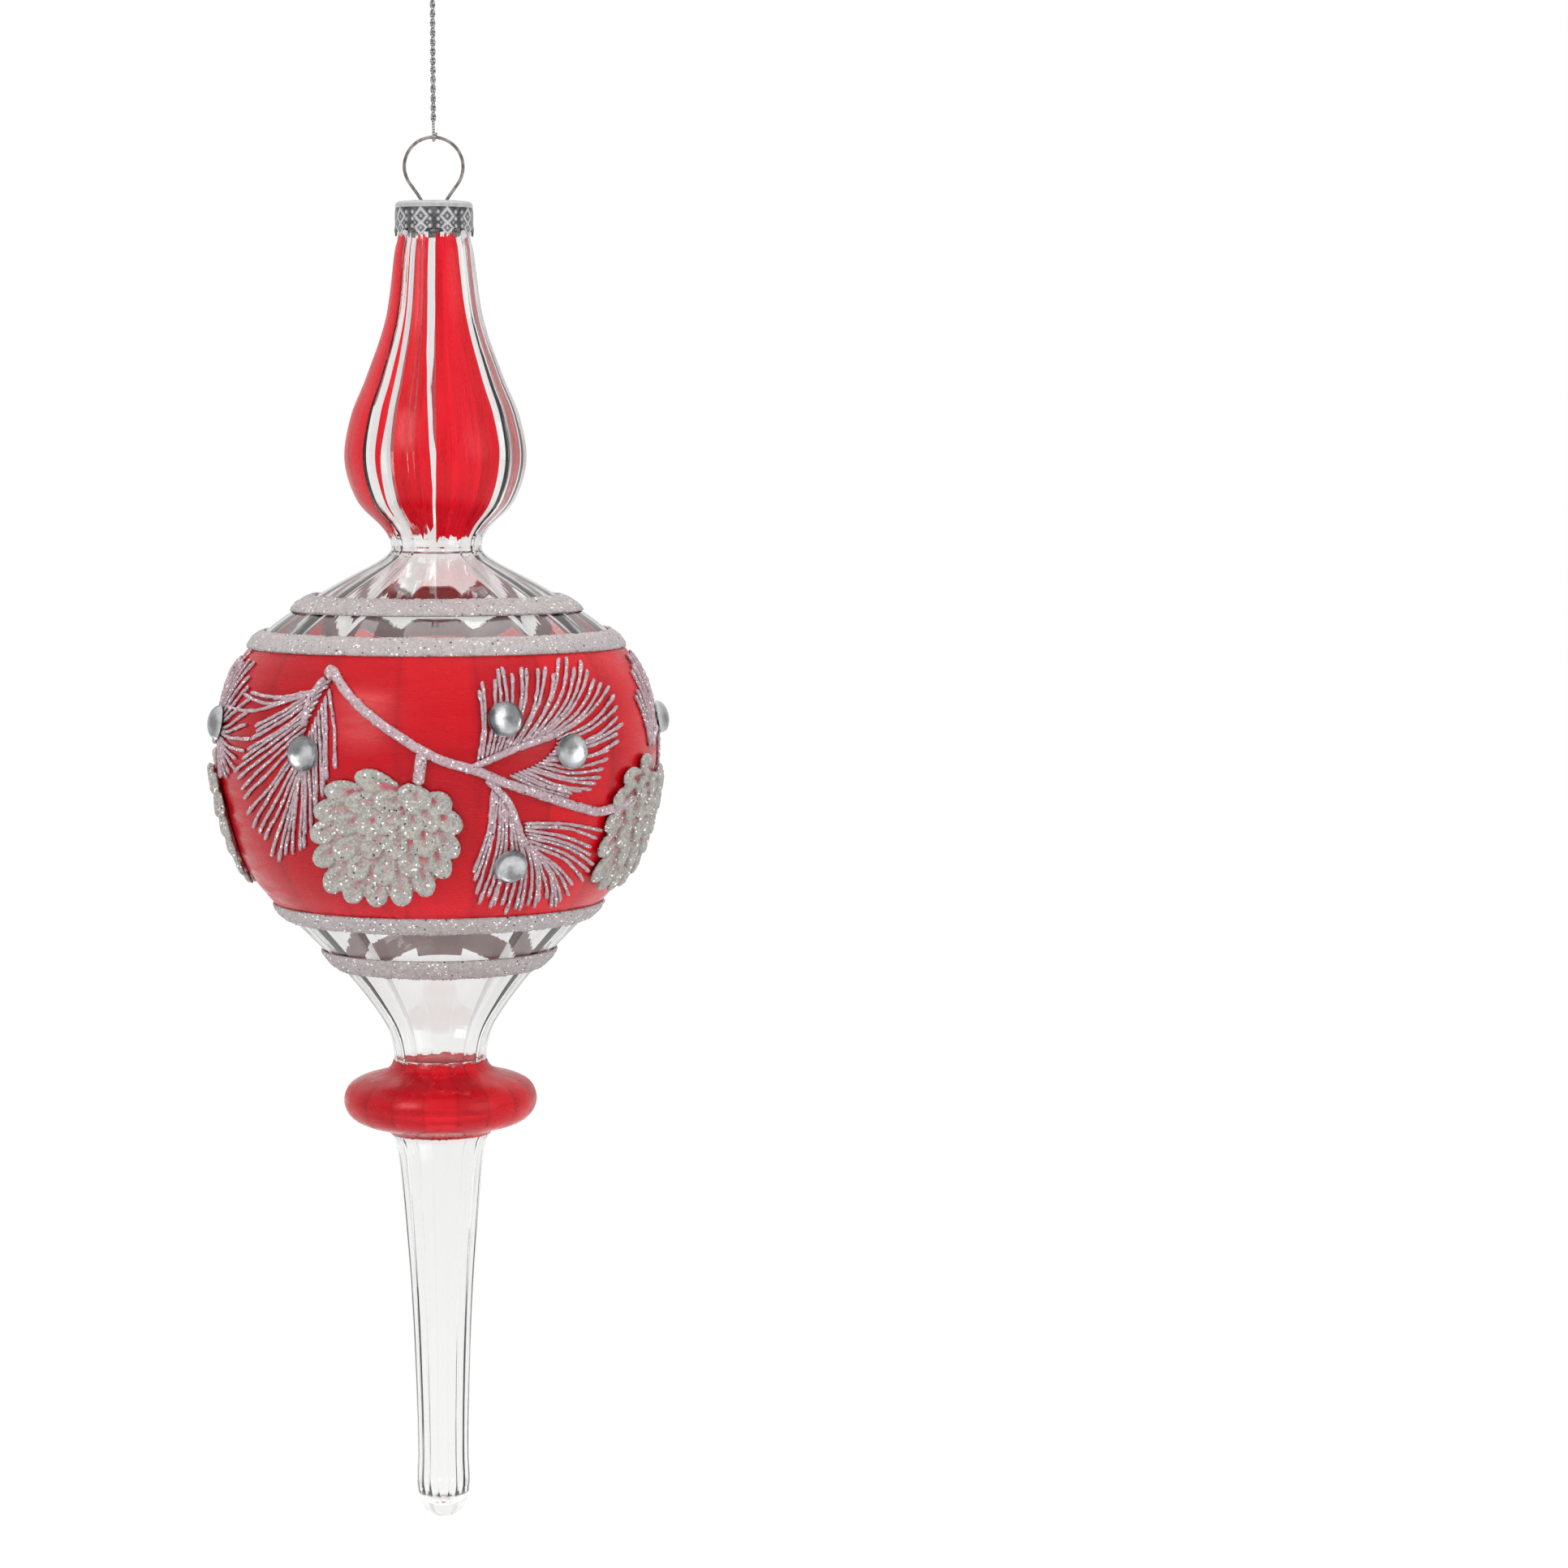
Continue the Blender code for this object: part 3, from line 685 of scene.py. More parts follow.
def strandPoint(height, side):
    # the two strands wind round each other, then part over the wire and meet under it
    wire = cordSetup["wire"]
    parting = wire + cordSetup["untwist"]
    turn = 2 * math.pi * (height - parting) / cordSetup["pitch"]
    if height > parting:
        spread = cordSetup["spread"]
    else:
        spread = cordSetup["spread"] + 0.35 * ((parting - height) / cordSetup["untwist"]) ** 1.3
        turn = 0.0
    return (side * spread * math.sin(turn), side * spread * math.cos(turn), height)


def makeCord(thread):
    top = cordSetup["knotHeight"] - cordSetup["knotRadius"] - cordSetup["gap"]
    wire = cordSetup["wire"]
    rows = 240
    heights = [top + (wire - top) * row / rows for row in range(rows + 1)]
    down = [strandPoint(height, 1) for height in heights]
    up = [strandPoint(height, -1) for height in reversed(heights)]
    bight = 0.6
    turns = [math.radians(angle) for angle in range(10, 180, 10)]
    under = [(0.0, bight * math.cos(turn), wire - bight * math.sin(turn)) for turn in turns]
    line = [Vector(point) * mm for point in down + under + up]
    run = rodAlong("twistedCord", line, [(1.0, 0.0, 0.02)] * len(line),
                   [cordSetup["strand"] * mm] * 700, 10)
    # a hitch of the same thread lies over the wire
    hitch = [Vector((0.28 + 0.22 * math.sin(turn), 0.58 * math.cos(turn), wire + 0.62 * math.sin(turn))) * mm
             for turn in (2 * math.pi * step / 24 for step in range(25))]
    loop = rodAlong("hitch", hitch, [(1.0, 0.0, 0.0)] * len(hitch), [0.2 * mm] * 60, 10)
    run = joinAs("twistedCord", [run, loop])
    knot = makeKnot()
    eye = makeEye()
    for piece in (run, knot, eye):
        dress(piece, thread)
    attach(knot, "cord_top")
    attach(eye, "cord_top")
    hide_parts("cord_run")
    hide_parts("cord_knot")
    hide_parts("cord_eye")
    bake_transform(run)
    print("cord made")


def makeKnot():
    # both strands tied in one overhand knot
    line, ups = [], []
    for step in range(97):
        t = 2 * math.pi * step / 96
        x = math.sin(t) + 2 * math.sin(2 * t)
        y = math.cos(t) - 2 * math.cos(2 * t)
        line.append(Vector((0.245 * x, 0.245 * y, cordSetup["knotHeight"] + 0.62 * -math.sin(3 * t))) * mm)
        ups.append((0.1, 0.05, 1.0))
    knot = rodAlong("cordKnot", line, ups, [0.27 * mm] * 140, 10)
    core = added(bpy.ops.mesh.primitive_uv_sphere_add, segments=24, ring_count=14, radius=0.66 * mm,
                 location=(0, 0, cordSetup["knotHeight"] * mm))
    pick(core)
    bpy.ops.object.transform_apply(location=True, rotation=True, scale=True)
    return joinAs("cordKnot", [knot, core])


def makeEye():
    # the loop above the knot, laid from two thin plies
    side = [(0.27, -7.4), (1.38, -5.4), (2.3, -3.0), (1.73, -0.7)]
    route = side + [(0.0, 0.14)] + [(-x, z) for x, z in reversed(side)]
    middle = smoothLine([(x, 0.0, z) for x, z in route], 16)
    plies = []
    for phase in (0.0, math.pi):
        line = []
        for index, point in enumerate(middle):
            before, after = middle[max(index - 1, 0)], middle[min(index + 1, len(middle) - 1)]
            run = (after - before).normalized()
            across = run.cross(Vector((0.0, 1.0, 0.0))).normalized()
            turn = phase + 0.55 * index
            offset = across * math.cos(turn) + Vector((0.0, 1.0, 0.0)) * math.sin(turn)
            line.append((point + 0.11 * offset) * mm)
        plies.append(rodAlong("ply", line, [(0.0, 1.0, 0.0)] * len(line), [0.13 * mm] * 300, 8))
    return joinAs("cordEye", plies)


hangerWire = {"radius": 0.285, "ring": 5.05, "lean": 35.0, "spread": 4.1, "reach": 14.0}
capShape = {
    "radius": 6.7,          # outside, before the pressed pattern stands proud
    "corner": 0.75,
    "height": 4.8,
    "sheet": 0.22,
    "points": 9,
    "firstPoint": 20.0,      # degrees from the front
    "pointDrop": 1.15,
    "proud": 0.2,
    "legHole": 0.62,
    "legPlace": 1.78,
}


def makeHanger(steel):
    lean = math.radians(hangerWire["lean"])
    ring = hangerWire["ring"]
    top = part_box("wire_hanger")[1].z / mm
    plate = capTop / mm
    centre = top - hangerWire["radius"] - ring
    leave = (ring * math.cos(lean), centre - ring * math.sin(lean))
    plateX = leave[0] - (leave[1] - plate - 0.5) * math.tan(lean)
    spread, reach = hangerWire["spread"], hangerWire["reach"]
    leg = [(spread, plate - reach), (0.85 * spread, plate - 0.6 * reach),
           (0.5 * spread, plate - 0.25 * reach), (plateX - 0.55, plate - 1.0), (plateX, plate + 0.5), leave]
    side = smoothLine([(x, 0.0, z) for x, z in leg], 10)
    arc = [Vector((ring * math.cos(turn), 0.0, centre + ring * math.sin(turn)))
           for turn in np.linspace(-lean, math.pi + lean, 74)[1:-1]]
    line = [point * mm for point in side + arc + [Vector((-p.x, 0.0, p.z)) for p in reversed(side)]]
    wire = rodAlong("steelHanger", line, [(0.0, 1.0, 0.0)] * len(line), [hangerWire["radius"] * mm] * 260, 16)
    dress(wire, steel)
    finishPiece(wire, "hanger", ["wire_hanger"])
    print("hanger made")


def pressedHeight(turn, depth):
    # the pattern pressed in the cap: two diamonds over each point, dots beside and between
    unit = 360.0 / capShape["points"]
    around = (turn - capShape["firstPoint"] + 0.5 * unit) % unit - 0.5 * unit
    across = math.radians(around) * capShape["radius"]
    height = 0.0
    for middle, wide, tall in ((2.7, 1.15, 1.3), (4.75, 1.0, 1.0)):
        rim = abs(abs(across) / wide + abs(depth - middle) / tall - 1.0) * 0.75
        height = max(height, math.exp(-(rim / 0.2) ** 2))
        height = max(height, 0.95 * math.exp(-((across ** 2 + (depth - middle) ** 2) / 0.07)))
    for beside in (-1.12, 1.12):
        height = max(height, 0.8 * math.exp(-(((across - beside) ** 2 + (depth - 3.85) ** 2) / 0.035)))
    between = 0.5 * math.radians(unit) * capShape["radius"] - abs(across)
    for level in (2.0, 3.2, 4.4):
        height = max(height, math.exp(-(((between - 0.72) ** 2 + (depth - level) ** 2) / 0.07)))
    return height


def makeCap(tin):
    top, radius, corner = capTop / mm, capShape["radius"], capShape["corner"]
    turns = 432
    profile = [(radius * share, top) for share in (0.0, 0.12, 0.3, 0.5, 0.65, 0.78)]
    for angle in range(0, 91, 10):
        turn = math.radians(angle)
        profile.append((radius - corner * (1 - math.sin(turn)), top - corner * (1 - math.cos(turn))))
    rows = 40
    lowest = capShape["height"]
    profile += [(radius, top - corner - (lowest - corner) * row / rows) for row in range(1, rows + 1)]
    cap = spinLine("crownCap", [(x * mm, z * mm) for x, z in profile], turns)
    faceOut(cap)
    reliefShade = []
    for vertex in cap.data.vertices:
        turn, depth, flat = readPlace(vertex.co)
        turn = math.degrees(turn)
        proud = 0.0
        if depth > corner + 0.01:
            swing = math.cos(math.radians(capShape["points"] * (turn - capShape["firstPoint"])))
            swing = max(0.0, swing) ** 1.5
            share = (depth - corner) / (lowest - corner)
            depth += capShape["pointDrop"] * swing * max(0.0, share - 0.55) / 0.45
            proud = pressedHeight(turn, depth) * min(1.0, (depth - corner) / 0.4)
            # the skirt crimps in a little above the points
            wider = radius + capShape["proud"] * proud - 0.12 * math.sin(math.pi * share)
            vertex.co.x *= wider / flat
            vertex.co.y *= wider / flat
            vertex.co.z = capTop - depth * mm
        # painted shade and light: the flat sheet between the motifs gets 0 and is painted dark, the motifs,
        # the top and its rounded edge are painted light
        reliefShade.append(proud if depth > corner + 0.35 else 0.8)
    store = cap.data.attributes.new("reliefShade", "FLOAT", "POINT")
    store.data.foreach_set("value", reliefShade)
    wall = cap.modifiers.new("sheet", "SOLIDIFY")
    wall.thickness = capShape["sheet"] * mm
    wall.offset = -1.0
    applyAll(cap)
    drill = joinAs("legDrill", [
        added(bpy.ops.mesh.primitive_cylinder_add, vertices=32, radius=capShape["legHole"] * mm,
              depth=2 * mm, location=(side * capShape["legPlace"] * mm, 0, capTop)) for side in (-1, 1)])
    cut = cap.modifiers.new("legHoles", "BOOLEAN")
    cut.operation = "DIFFERENCE"
    cut.object = drill
    applyAll(cap)
    removePiece(drill)
    dress(cap, tin, angle=40)
    finishPiece(cap, "cap", ["crown_cap"])
    print("cap made:", len(cap.data.polygons))


def makeGlass(glass):
    stations = smoothLine(glassShape["stations"], glassShape["steps"])
    outer = [(max(p.y, 0.0), capTop / mm - p.x) for p in stations]
    outer[-1] = (0.0, outer[-1][1])
    wall = glassShape["ridgeWall"]
    inner = []
    for depth in np.linspace(glassShape["stations"][0][0], glassShape["hollowEnd"], 170):
        slope = (radiusAt(depth + 0.4) - radiusAt(depth - 0.4)) / 0.8
        inner.append((radiusAt(depth) - wall * min(math.hypot(1.0, slope), 1.8), capTop / mm - depth))
    last = inner[-1]
    cup = [(last[0] * math.cos(turn), last[1] - last[0] * math.sin(turn))
           for turn in (math.radians(angle) for angle in range(12, 85, 12))]
    cup.append((0.0, last[1] - last[0]))
    line = list(reversed(outer)) + inner + cup
    body = spinLine("blownGlass", [(x * mm, z * mm) for x, z in line], glassShape["turns"])
    # the inside is pressed into flat flutes, with a ridge between each two
    unit = 2 * math.pi / glassShape["flutes"]
    for vertex in body.data.vertices:
        turn, depth, flat = readPlace(vertex.co)
        if depth < glassShape["plainNeck"] or flat < 0.5 or flat > radiusAt(depth) - 0.8 * wall:
            continue
        around = (turn + 0.5 * unit) % unit - 0.5 * unit
        inwards = math.cos(0.5 * unit) / math.cos(around)
        extra = 1 - (glassShape["fluteBow"] / flat) * (1 - (2 * around / unit) ** 2)
        blend = min(1.0, (depth - glassShape["plainNeck"]) / glassShape["fadeIn"])
        scale = 1 + blend * (inwards * extra - 1)
        vertex.co.x *= scale
        vertex.co.y *= scale
    dress(body, glass, angle=16)
    finishPiece(body, "glass", ["glass_body"])
    print("glass blown:", len(body.data.polygons))


lacquerCoats = {
    "lift": 0.03, "thick": 0.045,
    "globe": (77.0, 121.4),
    "collar": (149.6, 162.4),
}
stripeSetup = {"top": 6.0, "rows": 110, "step": 1.2, "edgeWander": 0.35, "topWander": 0.8}
# each stripe is some strips side by side: (share of its length, left edge, right edge) down its length
bulbStripes = (
    ("redStripe1", "bulb_stripe_1", 57.4, 1.2, (
        ((0.0, -89, -52), (0.4, -89, -50), (1.0, -86, -53)),)),
    ("redStripe2", "bulb_stripe_2", 53.5, 0.8, (
        ((0.0, -38, -36.6), (0.25, -38, -36), (0.45, -39, -34.6), (0.65, -40, -34), (0.85, -41, -37),
         (1.0, -39.5, -38.4)),)),
    ("redStripe3", "bulb_stripe_3", 56.6, 2.4, (
        ((0.0, -26, -22), (0.15, -27, -20.0), (0.40, -27, -18.6), (0.62, -27, -19.2), (0.86, -27, -17.0),
         (1.0, -25, -17.0)),
        ((0.0, -18, -13), (0.15, -18, -14.2), (0.40, -17.8, -14.9), (0.62, -17.6, -15.0),
         (0.86, -17.0, -13.5),
         (1.0, -17.0, -13.5)),
        ((0.0, -12, -8.5), (0.15, -12.5, -9.4), (0.40, -13.4, -8), (0.62, -13.4, -5), (0.86, -13.5, -2.2),
         (1.0, -13.5, -3.0)))),
    ("redStripe4", "bulb_stripe_4", 57.8, 0.9, (
        ((0.0, 2, 35), (0.3, 0.6, 40), (0.7, 0.2, 43.5), (1.0, -0.6, 42)),)),
    ("redStripe5", "bulb_stripe_5", 57.0, 1.4, (
        ((0.0, 101, 136), (0.5, 100, 136), (1.0, 103, 134)),)),
    ("redStripe6", "bulb_stripe_6", 57.2, 1.4, (
        ((0.0, 181, 212), (0.5, 179, 213), (1.0, 181, 210)),)),
)


def thickenCoat(piece, lacquer):
    coat = piece.modifiers.new("film", "SOLIDIFY")
    coat.thickness = lacquerCoats["thick"] * mm
    coat.offset = 1.0
    applyAll(piece)
    dress(piece, lacquer, angle=50)


def makeCoats(lacquer):
    for name, node, (top, bottom), ragged in (
            ("globeLacquer", "globe_coat", lacquerCoats["globe"], 0.0),
            ("collarLacquer", "collar_coat", lacquerCoats["collar"], 0.55)):
        rows = max(30, round((bottom - top) * 2.2))
        depths = np.linspace(top, bottom, rows + 1)
        coat = spinLine(name, [(radiusAt(d) * mm, capTop - d * mm) for d in depths], 216)
        faceOut(coat)
        for vertex in coat.data.vertices:
            turn, depth, _ = readPlace(vertex.co)
            place = Vector((math.sin(turn), math.cos(turn), 0.0))
            fromTop = max(0.0, 1 - (depth - top) / 2.5)
            fromBottom = max(0.0, 1 - (bottom - depth) / 2.0)
            depth += ragged * fromTop * (noise.noise(place * 9) * 1.1 + noise.noise(place * 22) * 0.5)
            depth += ragged * fromBottom * noise.noise(place * 14 + Vector((0, 0, 5))) * 0.6
            vertex.co = glassPoint(turn, depth, lacquerCoats["lift"] * mm)
        thickenCoat(coat, lacquer)
        finishPiece(coat, "glass", [node])
    print("coats laid")


def edgeAt(edges, share):
    shares = [edge[0] for edge in edges]
    return (float(np.interp(share, shares, [edge[1] for edge in edges])),
            float(np.interp(share, shares, [edge[2] for edge in edges])))


def makeStripe(name, node, end, ragged, strips, lacquer):
    top, rows = stripeSetup["top"], stripeSetup["rows"]
    pieces = []
    for edges in strips:
        width = edges[1][2] - edges[1][1]
        columns = max(2, round(width / stripeSetup["step"]))
        strip = added(bpy.ops.mesh.primitive_grid_add, x_subdivisions=columns, y_subdivisions=rows, size=1.0)
        for vertex in strip.data.vertices:
            across, down = vertex.co.x + 0.5, 0.5 - vertex.co.y
            left, right = edgeAt(edges, down)
            azimuth = left + (right - left) * across
            depth = top + (end - top) * down
            edge = abs(across - 0.5) * 2
            if edge > 0.99:
                azimuth += stripeSetup["edgeWander"] * noise.noise(Vector((depth * 0.22, azimuth * 0.13, 3.0)))
            drip = noise.noise(Vector((azimuth * 0.30, 1.5, 0.0)))
            drip += 0.5 * noise.noise(Vector((azimuth * 0.8, 7.5, 0)))
            depth += ragged * drip * max(0.0, down - 0.8) / 0.2
            brushed = noise.noise(Vector((azimuth * 0.4, 4.5, 0.0))) * max(0.0, 1 - down / 0.1)
            depth += stripeSetup["topWander"] * brushed
            vertex.co = glassPoint(math.radians(azimuth), depth, lacquerCoats["lift"] * mm)
        pieces.append(strip)
    stripe = joinAs(name, pieces)
    editAll(stripe)
    bpy.ops.mesh.remove_doubles(threshold=0.002 * mm)
    bpy.ops.object.mode_set(mode="OBJECT")
    faceOut(stripe)
    thickenCoat(stripe, lacquer)
    finishPiece(stripe, "glass", [node])


bandSetup = {"depths": ((68.1, 70.7), (74.1, 77.0), (121.2, 124.1), (129.5, 132.9)),
             "height": 0.72, "steps": 640, "rows": 13, "rough": 0.085}


def makeBands(glitter, under):
    for number, (top, bottom) in enumerate(bandSetup["depths"], 1):
        middle, half = 0.5 * (top + bottom), 0.5 * (bottom - top)
        profile = []
        for row in range(bandSetup["rows"] + 1):
            turn = math.pi * row / bandSetup["rows"]
            swell = math.sin(turn) ** 0.65 if 0 < row < bandSetup["rows"] else 0.0
            profile.append((middle - half * math.cos(turn), 0.1 + bandSetup["height"] * swell))
        profile += [(middle + half * share, lift) for share, lift in
                    ((0.86, 0.12), (0.6, 0.04), (0.2, 0.03), (-0.2, 0.03), (-0.6, 0.04), (-0.86, 0.12))]
        line = []
        for depth, lift in profile:
            point = glassPoint(math.pi / 2, depth, lift * mm)
            line.append((point.x, point.z))
        band = spinLine(f"glitterBand{number}", line, bandSetup["steps"], closed=True)
        for vertex in band.data.vertices:
            _, depth, flat = readPlace(vertex.co)
            if flat - radiusAt(depth) < 0.2:
                continue
            out = Vector((vertex.co.x, vertex.co.y, 0.0)).normalized()
            grain = random.gauss(0.0, 1.0)
            sag = 0.16 * noise.noise(vertex.co * 170) + 0.08 * noise.noise(vertex.co * 520)
            vertex.co += out * (bandSetup["rough"] * grain * 0.8 + sag) * mm
            vertex.co.z += (bandSetup["rough"] * random.gauss(0.0, 1.0) + sag * 0.8) * mm
        dress(band, glitter, under)
        for face in band.data.polygons:
            _, depth, flat = readPlace(face.center)
            if flat - radiusAt(depth) < 0.16:
                face.material_index = 1
        finishPiece(band, "glass", [f"glitter_band_{number}"])
    print("bands laid")


motifTurns = (0.0, 197.0)
pasteLift = 0.1          # the top of the lacquer, where glue and gems sit
twigSetup = {
    "pine_branch": ("pineBranch", 0.80, ((-29.4, 79.8), (-20.6, 84.9), (-10.6, 89.5), (-0.5, 93.4),
                                         (9.6, 95.6), (17.8, 97.9), (34.7, 101.7), (45.5, 103.6))),
    "left_stem": ("leftStem", 0.60, ((-31.6, 80.8), (-34.6, 84.0), (-36.0, 88.6))),
    "upper_twig": ("upperTwig", 0.60, ((6.5, 95.6), (12.4, 93.9), (20.0, 92.0), (30.0, 90.2))),
    "lower_twig": ("lowerTwig", 0.60, ((12.0, 97.0), (17.4, 100.6), (20.4, 104.6), (22.4, 108.4))),
    "end_twig": ("endTwig", 0.55, ((72.0, 93.4), (76.0, 91.4), (79.6, 90.6))),
}
# short pieces joined to the branch: the knob where it was cut, the cone's stem and the far cone's
branchExtras = (
    (1.15, 8, ((-31.2, 79.6), (-29.9, 79.9), (-28.6, 80.6))),
    (0.98, 16, ((-4.0, 92.6), (-4.4, 95.0), (-5.0, 97.6))),
    (0.8, 24, ((45.0, 103.5), (54.0, 103.0), (60.0, 101.6))),
)
# a spray's needles leave its stem and end along the outline: places are azimuth and depth
needleSetup = {"radius": 0.30, "tip": 0.43, "rows": 20, "sides": 8}
sprays = (
    ("leftNeedles", 27, 0.05,
     ((-29.8, 81.0), (-32.2, 84.0), (-35.0, 88.4), (-37.0, 94.4), (-36.6, 97.0), (-35.4, 92.0), (-32.4, 86.6),
      (-29.6, 82.4)),
     ((-53.6, 89.2), (-60.5, 94.9), (-64.0, 98.5), (-61.5, 104.6), (-54.7, 109.8), (-46.0, 112.6),
      (-37.5, 108.6),
      (-31.0, 101.5), (-26.4, 95.8))),
    ("leftTopNeedles", 5, 0.08,
     ((-30.1, 81.8), (-33.0, 82.6), (-36.0, 83.4)),
     ((-39.6, 84.5), (-52.0, 84.2), (-64.0, 83.6), (-75.4, 86.6))),
    ("upperNeedles", 34, -0.06,
     ((9.8, 94.0), (15.0, 92.6), (21.0, 91.4), (27.0, 90.6), (31.0, 90.8), (30.0, 92.6), (25.0, 94.8),
      (18.0, 96.4)),
     ((10.6, 82.6), (15.3, 80.2), (20.0, 78.4), (26.5, 77.9), (33.5, 78.6), (40.0, 78.2), (46.5, 78.8),
      (52.0, 82.2),
      (55.4, 87.0), (52.6, 90.8), (48.5, 94.0), (47.2, 97.6), (42.0, 99.6), (34.5, 100.4))),
    ("lowerNeedles", 27, 0.05,
     ((13.6, 98.6), (16.8, 100.8), (19.8, 104.2), (22.4, 108.2), (23.6, 107.4), (22.2, 104.6)),
     ((9.6, 113.6), (13.0, 118.4), (17.0, 120.8), (24.0, 120.7), (31.5, 120.2), (37.0, 119.7), (42.6, 119.6),
      (46.4, 117.0), (48.0, 113.4), (46.2, 109.6), (48.4, 107.0))),
    ("endNeedles", 24, -0.06,
     ((71.0, 93.6), (75.0, 91.6), (80.0, 90.6), (86.0, 89.6)),
     ((66.5, 84.6), (71.0, 80.2), (77.5, 78.0), (85.0, 77.4), (93.0, 78.0), (100.5, 80.6),
      (105.5, 85.4), (106.0, 91.0),
      (101.5, 95.8), (94.5, 98.6), (86.0, 99.8))),
)


def roughen(piece, amount, fine=900.0):
    # grains stand out of the dried glue
    normals = [vertex.normal.copy() for vertex in piece.data.vertices]
    for vertex, normal in zip(piece.data.vertices, normals):
        lump = random.gauss(0.0, 0.7) + 0.9 * noise.noise(vertex.co * fine)
        vertex.co += normal * amount * lump


def makeTwigs(glitter):
    for motif, turn in enumerate(motifTurns, 1):
        for node, (name, radius, route) in twigSetup.items():
            lift = (pasteLift + 0.72 * radius) * mm
            line, ups = glassRoute(route, turn, lift, 8)
            length = sum((b - a).length for a, b in zip(line, line[1:]))
            rows = max(12, round(length / (0.32 * mm)))
            radii = [radius * mm * (1 + 0.10 * noise.noise(Vector((row * 0.35, motif * 3.0, radius * 40))))
                     for row in range(rows + 1)]
            radii[0] *= 0.7
            radii[-1] *= 0.6
            pieces = [rodAlong(name, line, ups, radii, 14)]
            if node == "pine_branch":
                for width, count, extra in branchExtras:
                    line, ups = glassRoute(extra, turn, lift)
                    pieces.append(rodAlong("extra", line, ups, roundEnded(width * mm, count), 14))
            twig = joinAs(f"{name}{motif}", pieces)
            roughen(twig, 0.07 * mm)
            dress(twig, glitter)
            finishPiece(twig, "glass", [f"{node}_{motif}"])
    print("twigs laid")


def alongFlat(points, count):
    # places at even spacing along azimuth and depth points
    dense = smoothLine(points, 12)
    reach = [0.0]
    for before, after in zip(dense, dense[1:]):
        reach.append(reach[-1] + math.hypot((after.x - before.x) * 0.66, after.y - before.y))
    found = []
    for index in range(count):
        wanted = reach[-1] * index / max(count - 1, 1)
        found.append(Vector((float(np.interp(wanted, reach, [p.x for p in dense])),
                             float(np.interp(wanted, reach, [p.y for p in dense])))))
    return found


def makeNeedles(glitter):
    radii = roundEnded(needleSetup["radius"] * mm, needleSetup["rows"], needleSetup["tip"] * mm, 0.95)
    needle = straightRod("needle", radii, needleSetup["sides"])
    for motif, turn in enumerate(motifTurns, 1):
        for name, amount, bow, stem, outline in sprays:
            pieces = []
            for root, tip in zip(alongFlat(stem, amount), alongFlat(outline, amount)):
                tip = tip + (tip - root) * random.uniform(-0.13, 0.04)
                tip += Vector((random.uniform(-0.9, 0.9), 0.0))
                middle = 0.5 * (root + tip)
                run = tip - root
                middle += Vector((run.y / 0.66, -run.x * 0.66)) * bow * random.uniform(0.4, 1.2)
                lift = (pasteLift + 0.8 * needleSetup["radius"]) * mm
                line, ups = glassRoute((root, middle, tip), turn, lift, 5)
                copy = copyOf(needle, "needle")
                bendAlong(copy, line, ups)
                pieces.append(copy)
            spray = joinAs(f"{name}{motif}", pieces)
            roughen(spray, 0.085 * mm, 1500.0)
            dress(spray, glitter)
            finishPiece(spray, "glass")
    removePiece(needle)
    print("needles laid")


coneSetup = {
    "places": ((-14.0, 106.6), (69.0, 106.0)),
    "stemEnd": (5.6, 10.2),      # where the scales fan from, in millimetres from the cone's middle
    "width": 4.15,
    "lift": 0.12,
    "thick": 2.5,
    "rise": 0.62,                # a scale's tip stands higher than its root
    "stack": 0.72,               # the last scale lies this much over the first
    "voxel": 0.28,
}
# a scale's tip, across and up from the cone's middle, and its length
# the outer ones come first, and the inner ones lie on them
coneScales = (
    (-4.5, 10.4, 8.6), (-10.1, 7.7, 8.6), (-12.3, 3.8, 8.0), (-13.2, -0.3, 6.6), (-13.0, -4.7, 6.2),
    (-11.5, -9.2, 6.2),
    (-7.8, -11.0, 5.8), (-3.4, -11.6, 6.0), (1.2, -11.5, 6.2), (5.8, -9.8, 6.0), (9.4, -6.7, 6.0),
    (11.5, -3.2, 6.0),
    (12.6, 1.2, 6.0), (11.4, 5.2, 5.6),
    (-8.4, 1.4, 6.2), (-8.9, -3.4, 5.8), (-6.4, -6.9, 5.8), (-1.4, -7.8, 6.0), (3.4, -6.4, 5.8),
    (6.9, -3.1, 5.8),
    (8.5, 1.2, 5.8), (7.8, 5.4, 5.4),
    (-6.2, 5.6, 6.6), (-4.6, 1.4, 6.0), (-3.6, -3.0, 5.8), (1.0, -3.2, 5.6), (4.2, 0.0, 5.6), (4.6, 4.2, 5.2),
    (-1.0, 1.2, 5.6), (-1.4, 5.8, 6.0), (2.6, 7.6, 5.0),
)


def makeScale():
    # one spoon-shaped scale, its round end towards +Y, 1 wide and 1 long
    scale = rename(added(bpy.ops.mesh.primitive_uv_sphere_add, segments=20, ring_count=12, radius=0.5),
                   "coneScale")
    for vertex in scale.data.vertices:
        x, y, z = vertex.co
        along = y + 0.5
        narrow = 0.42 + 0.58 * min(1.0, max(0.0, along) / 0.62) ** 0.8
        hollow = math.exp(-((x / 0.20) ** 2 + ((along - 0.44) / 0.30) ** 2))
        if z > 0:
            z = z ** 0.8 * 0.5 ** 0.2 * (0.55 + 0.45 * along) - 0.40 * hollow
        else:
            z *= 0.2
        vertex.co = (x * narrow, y, z)
    return scale


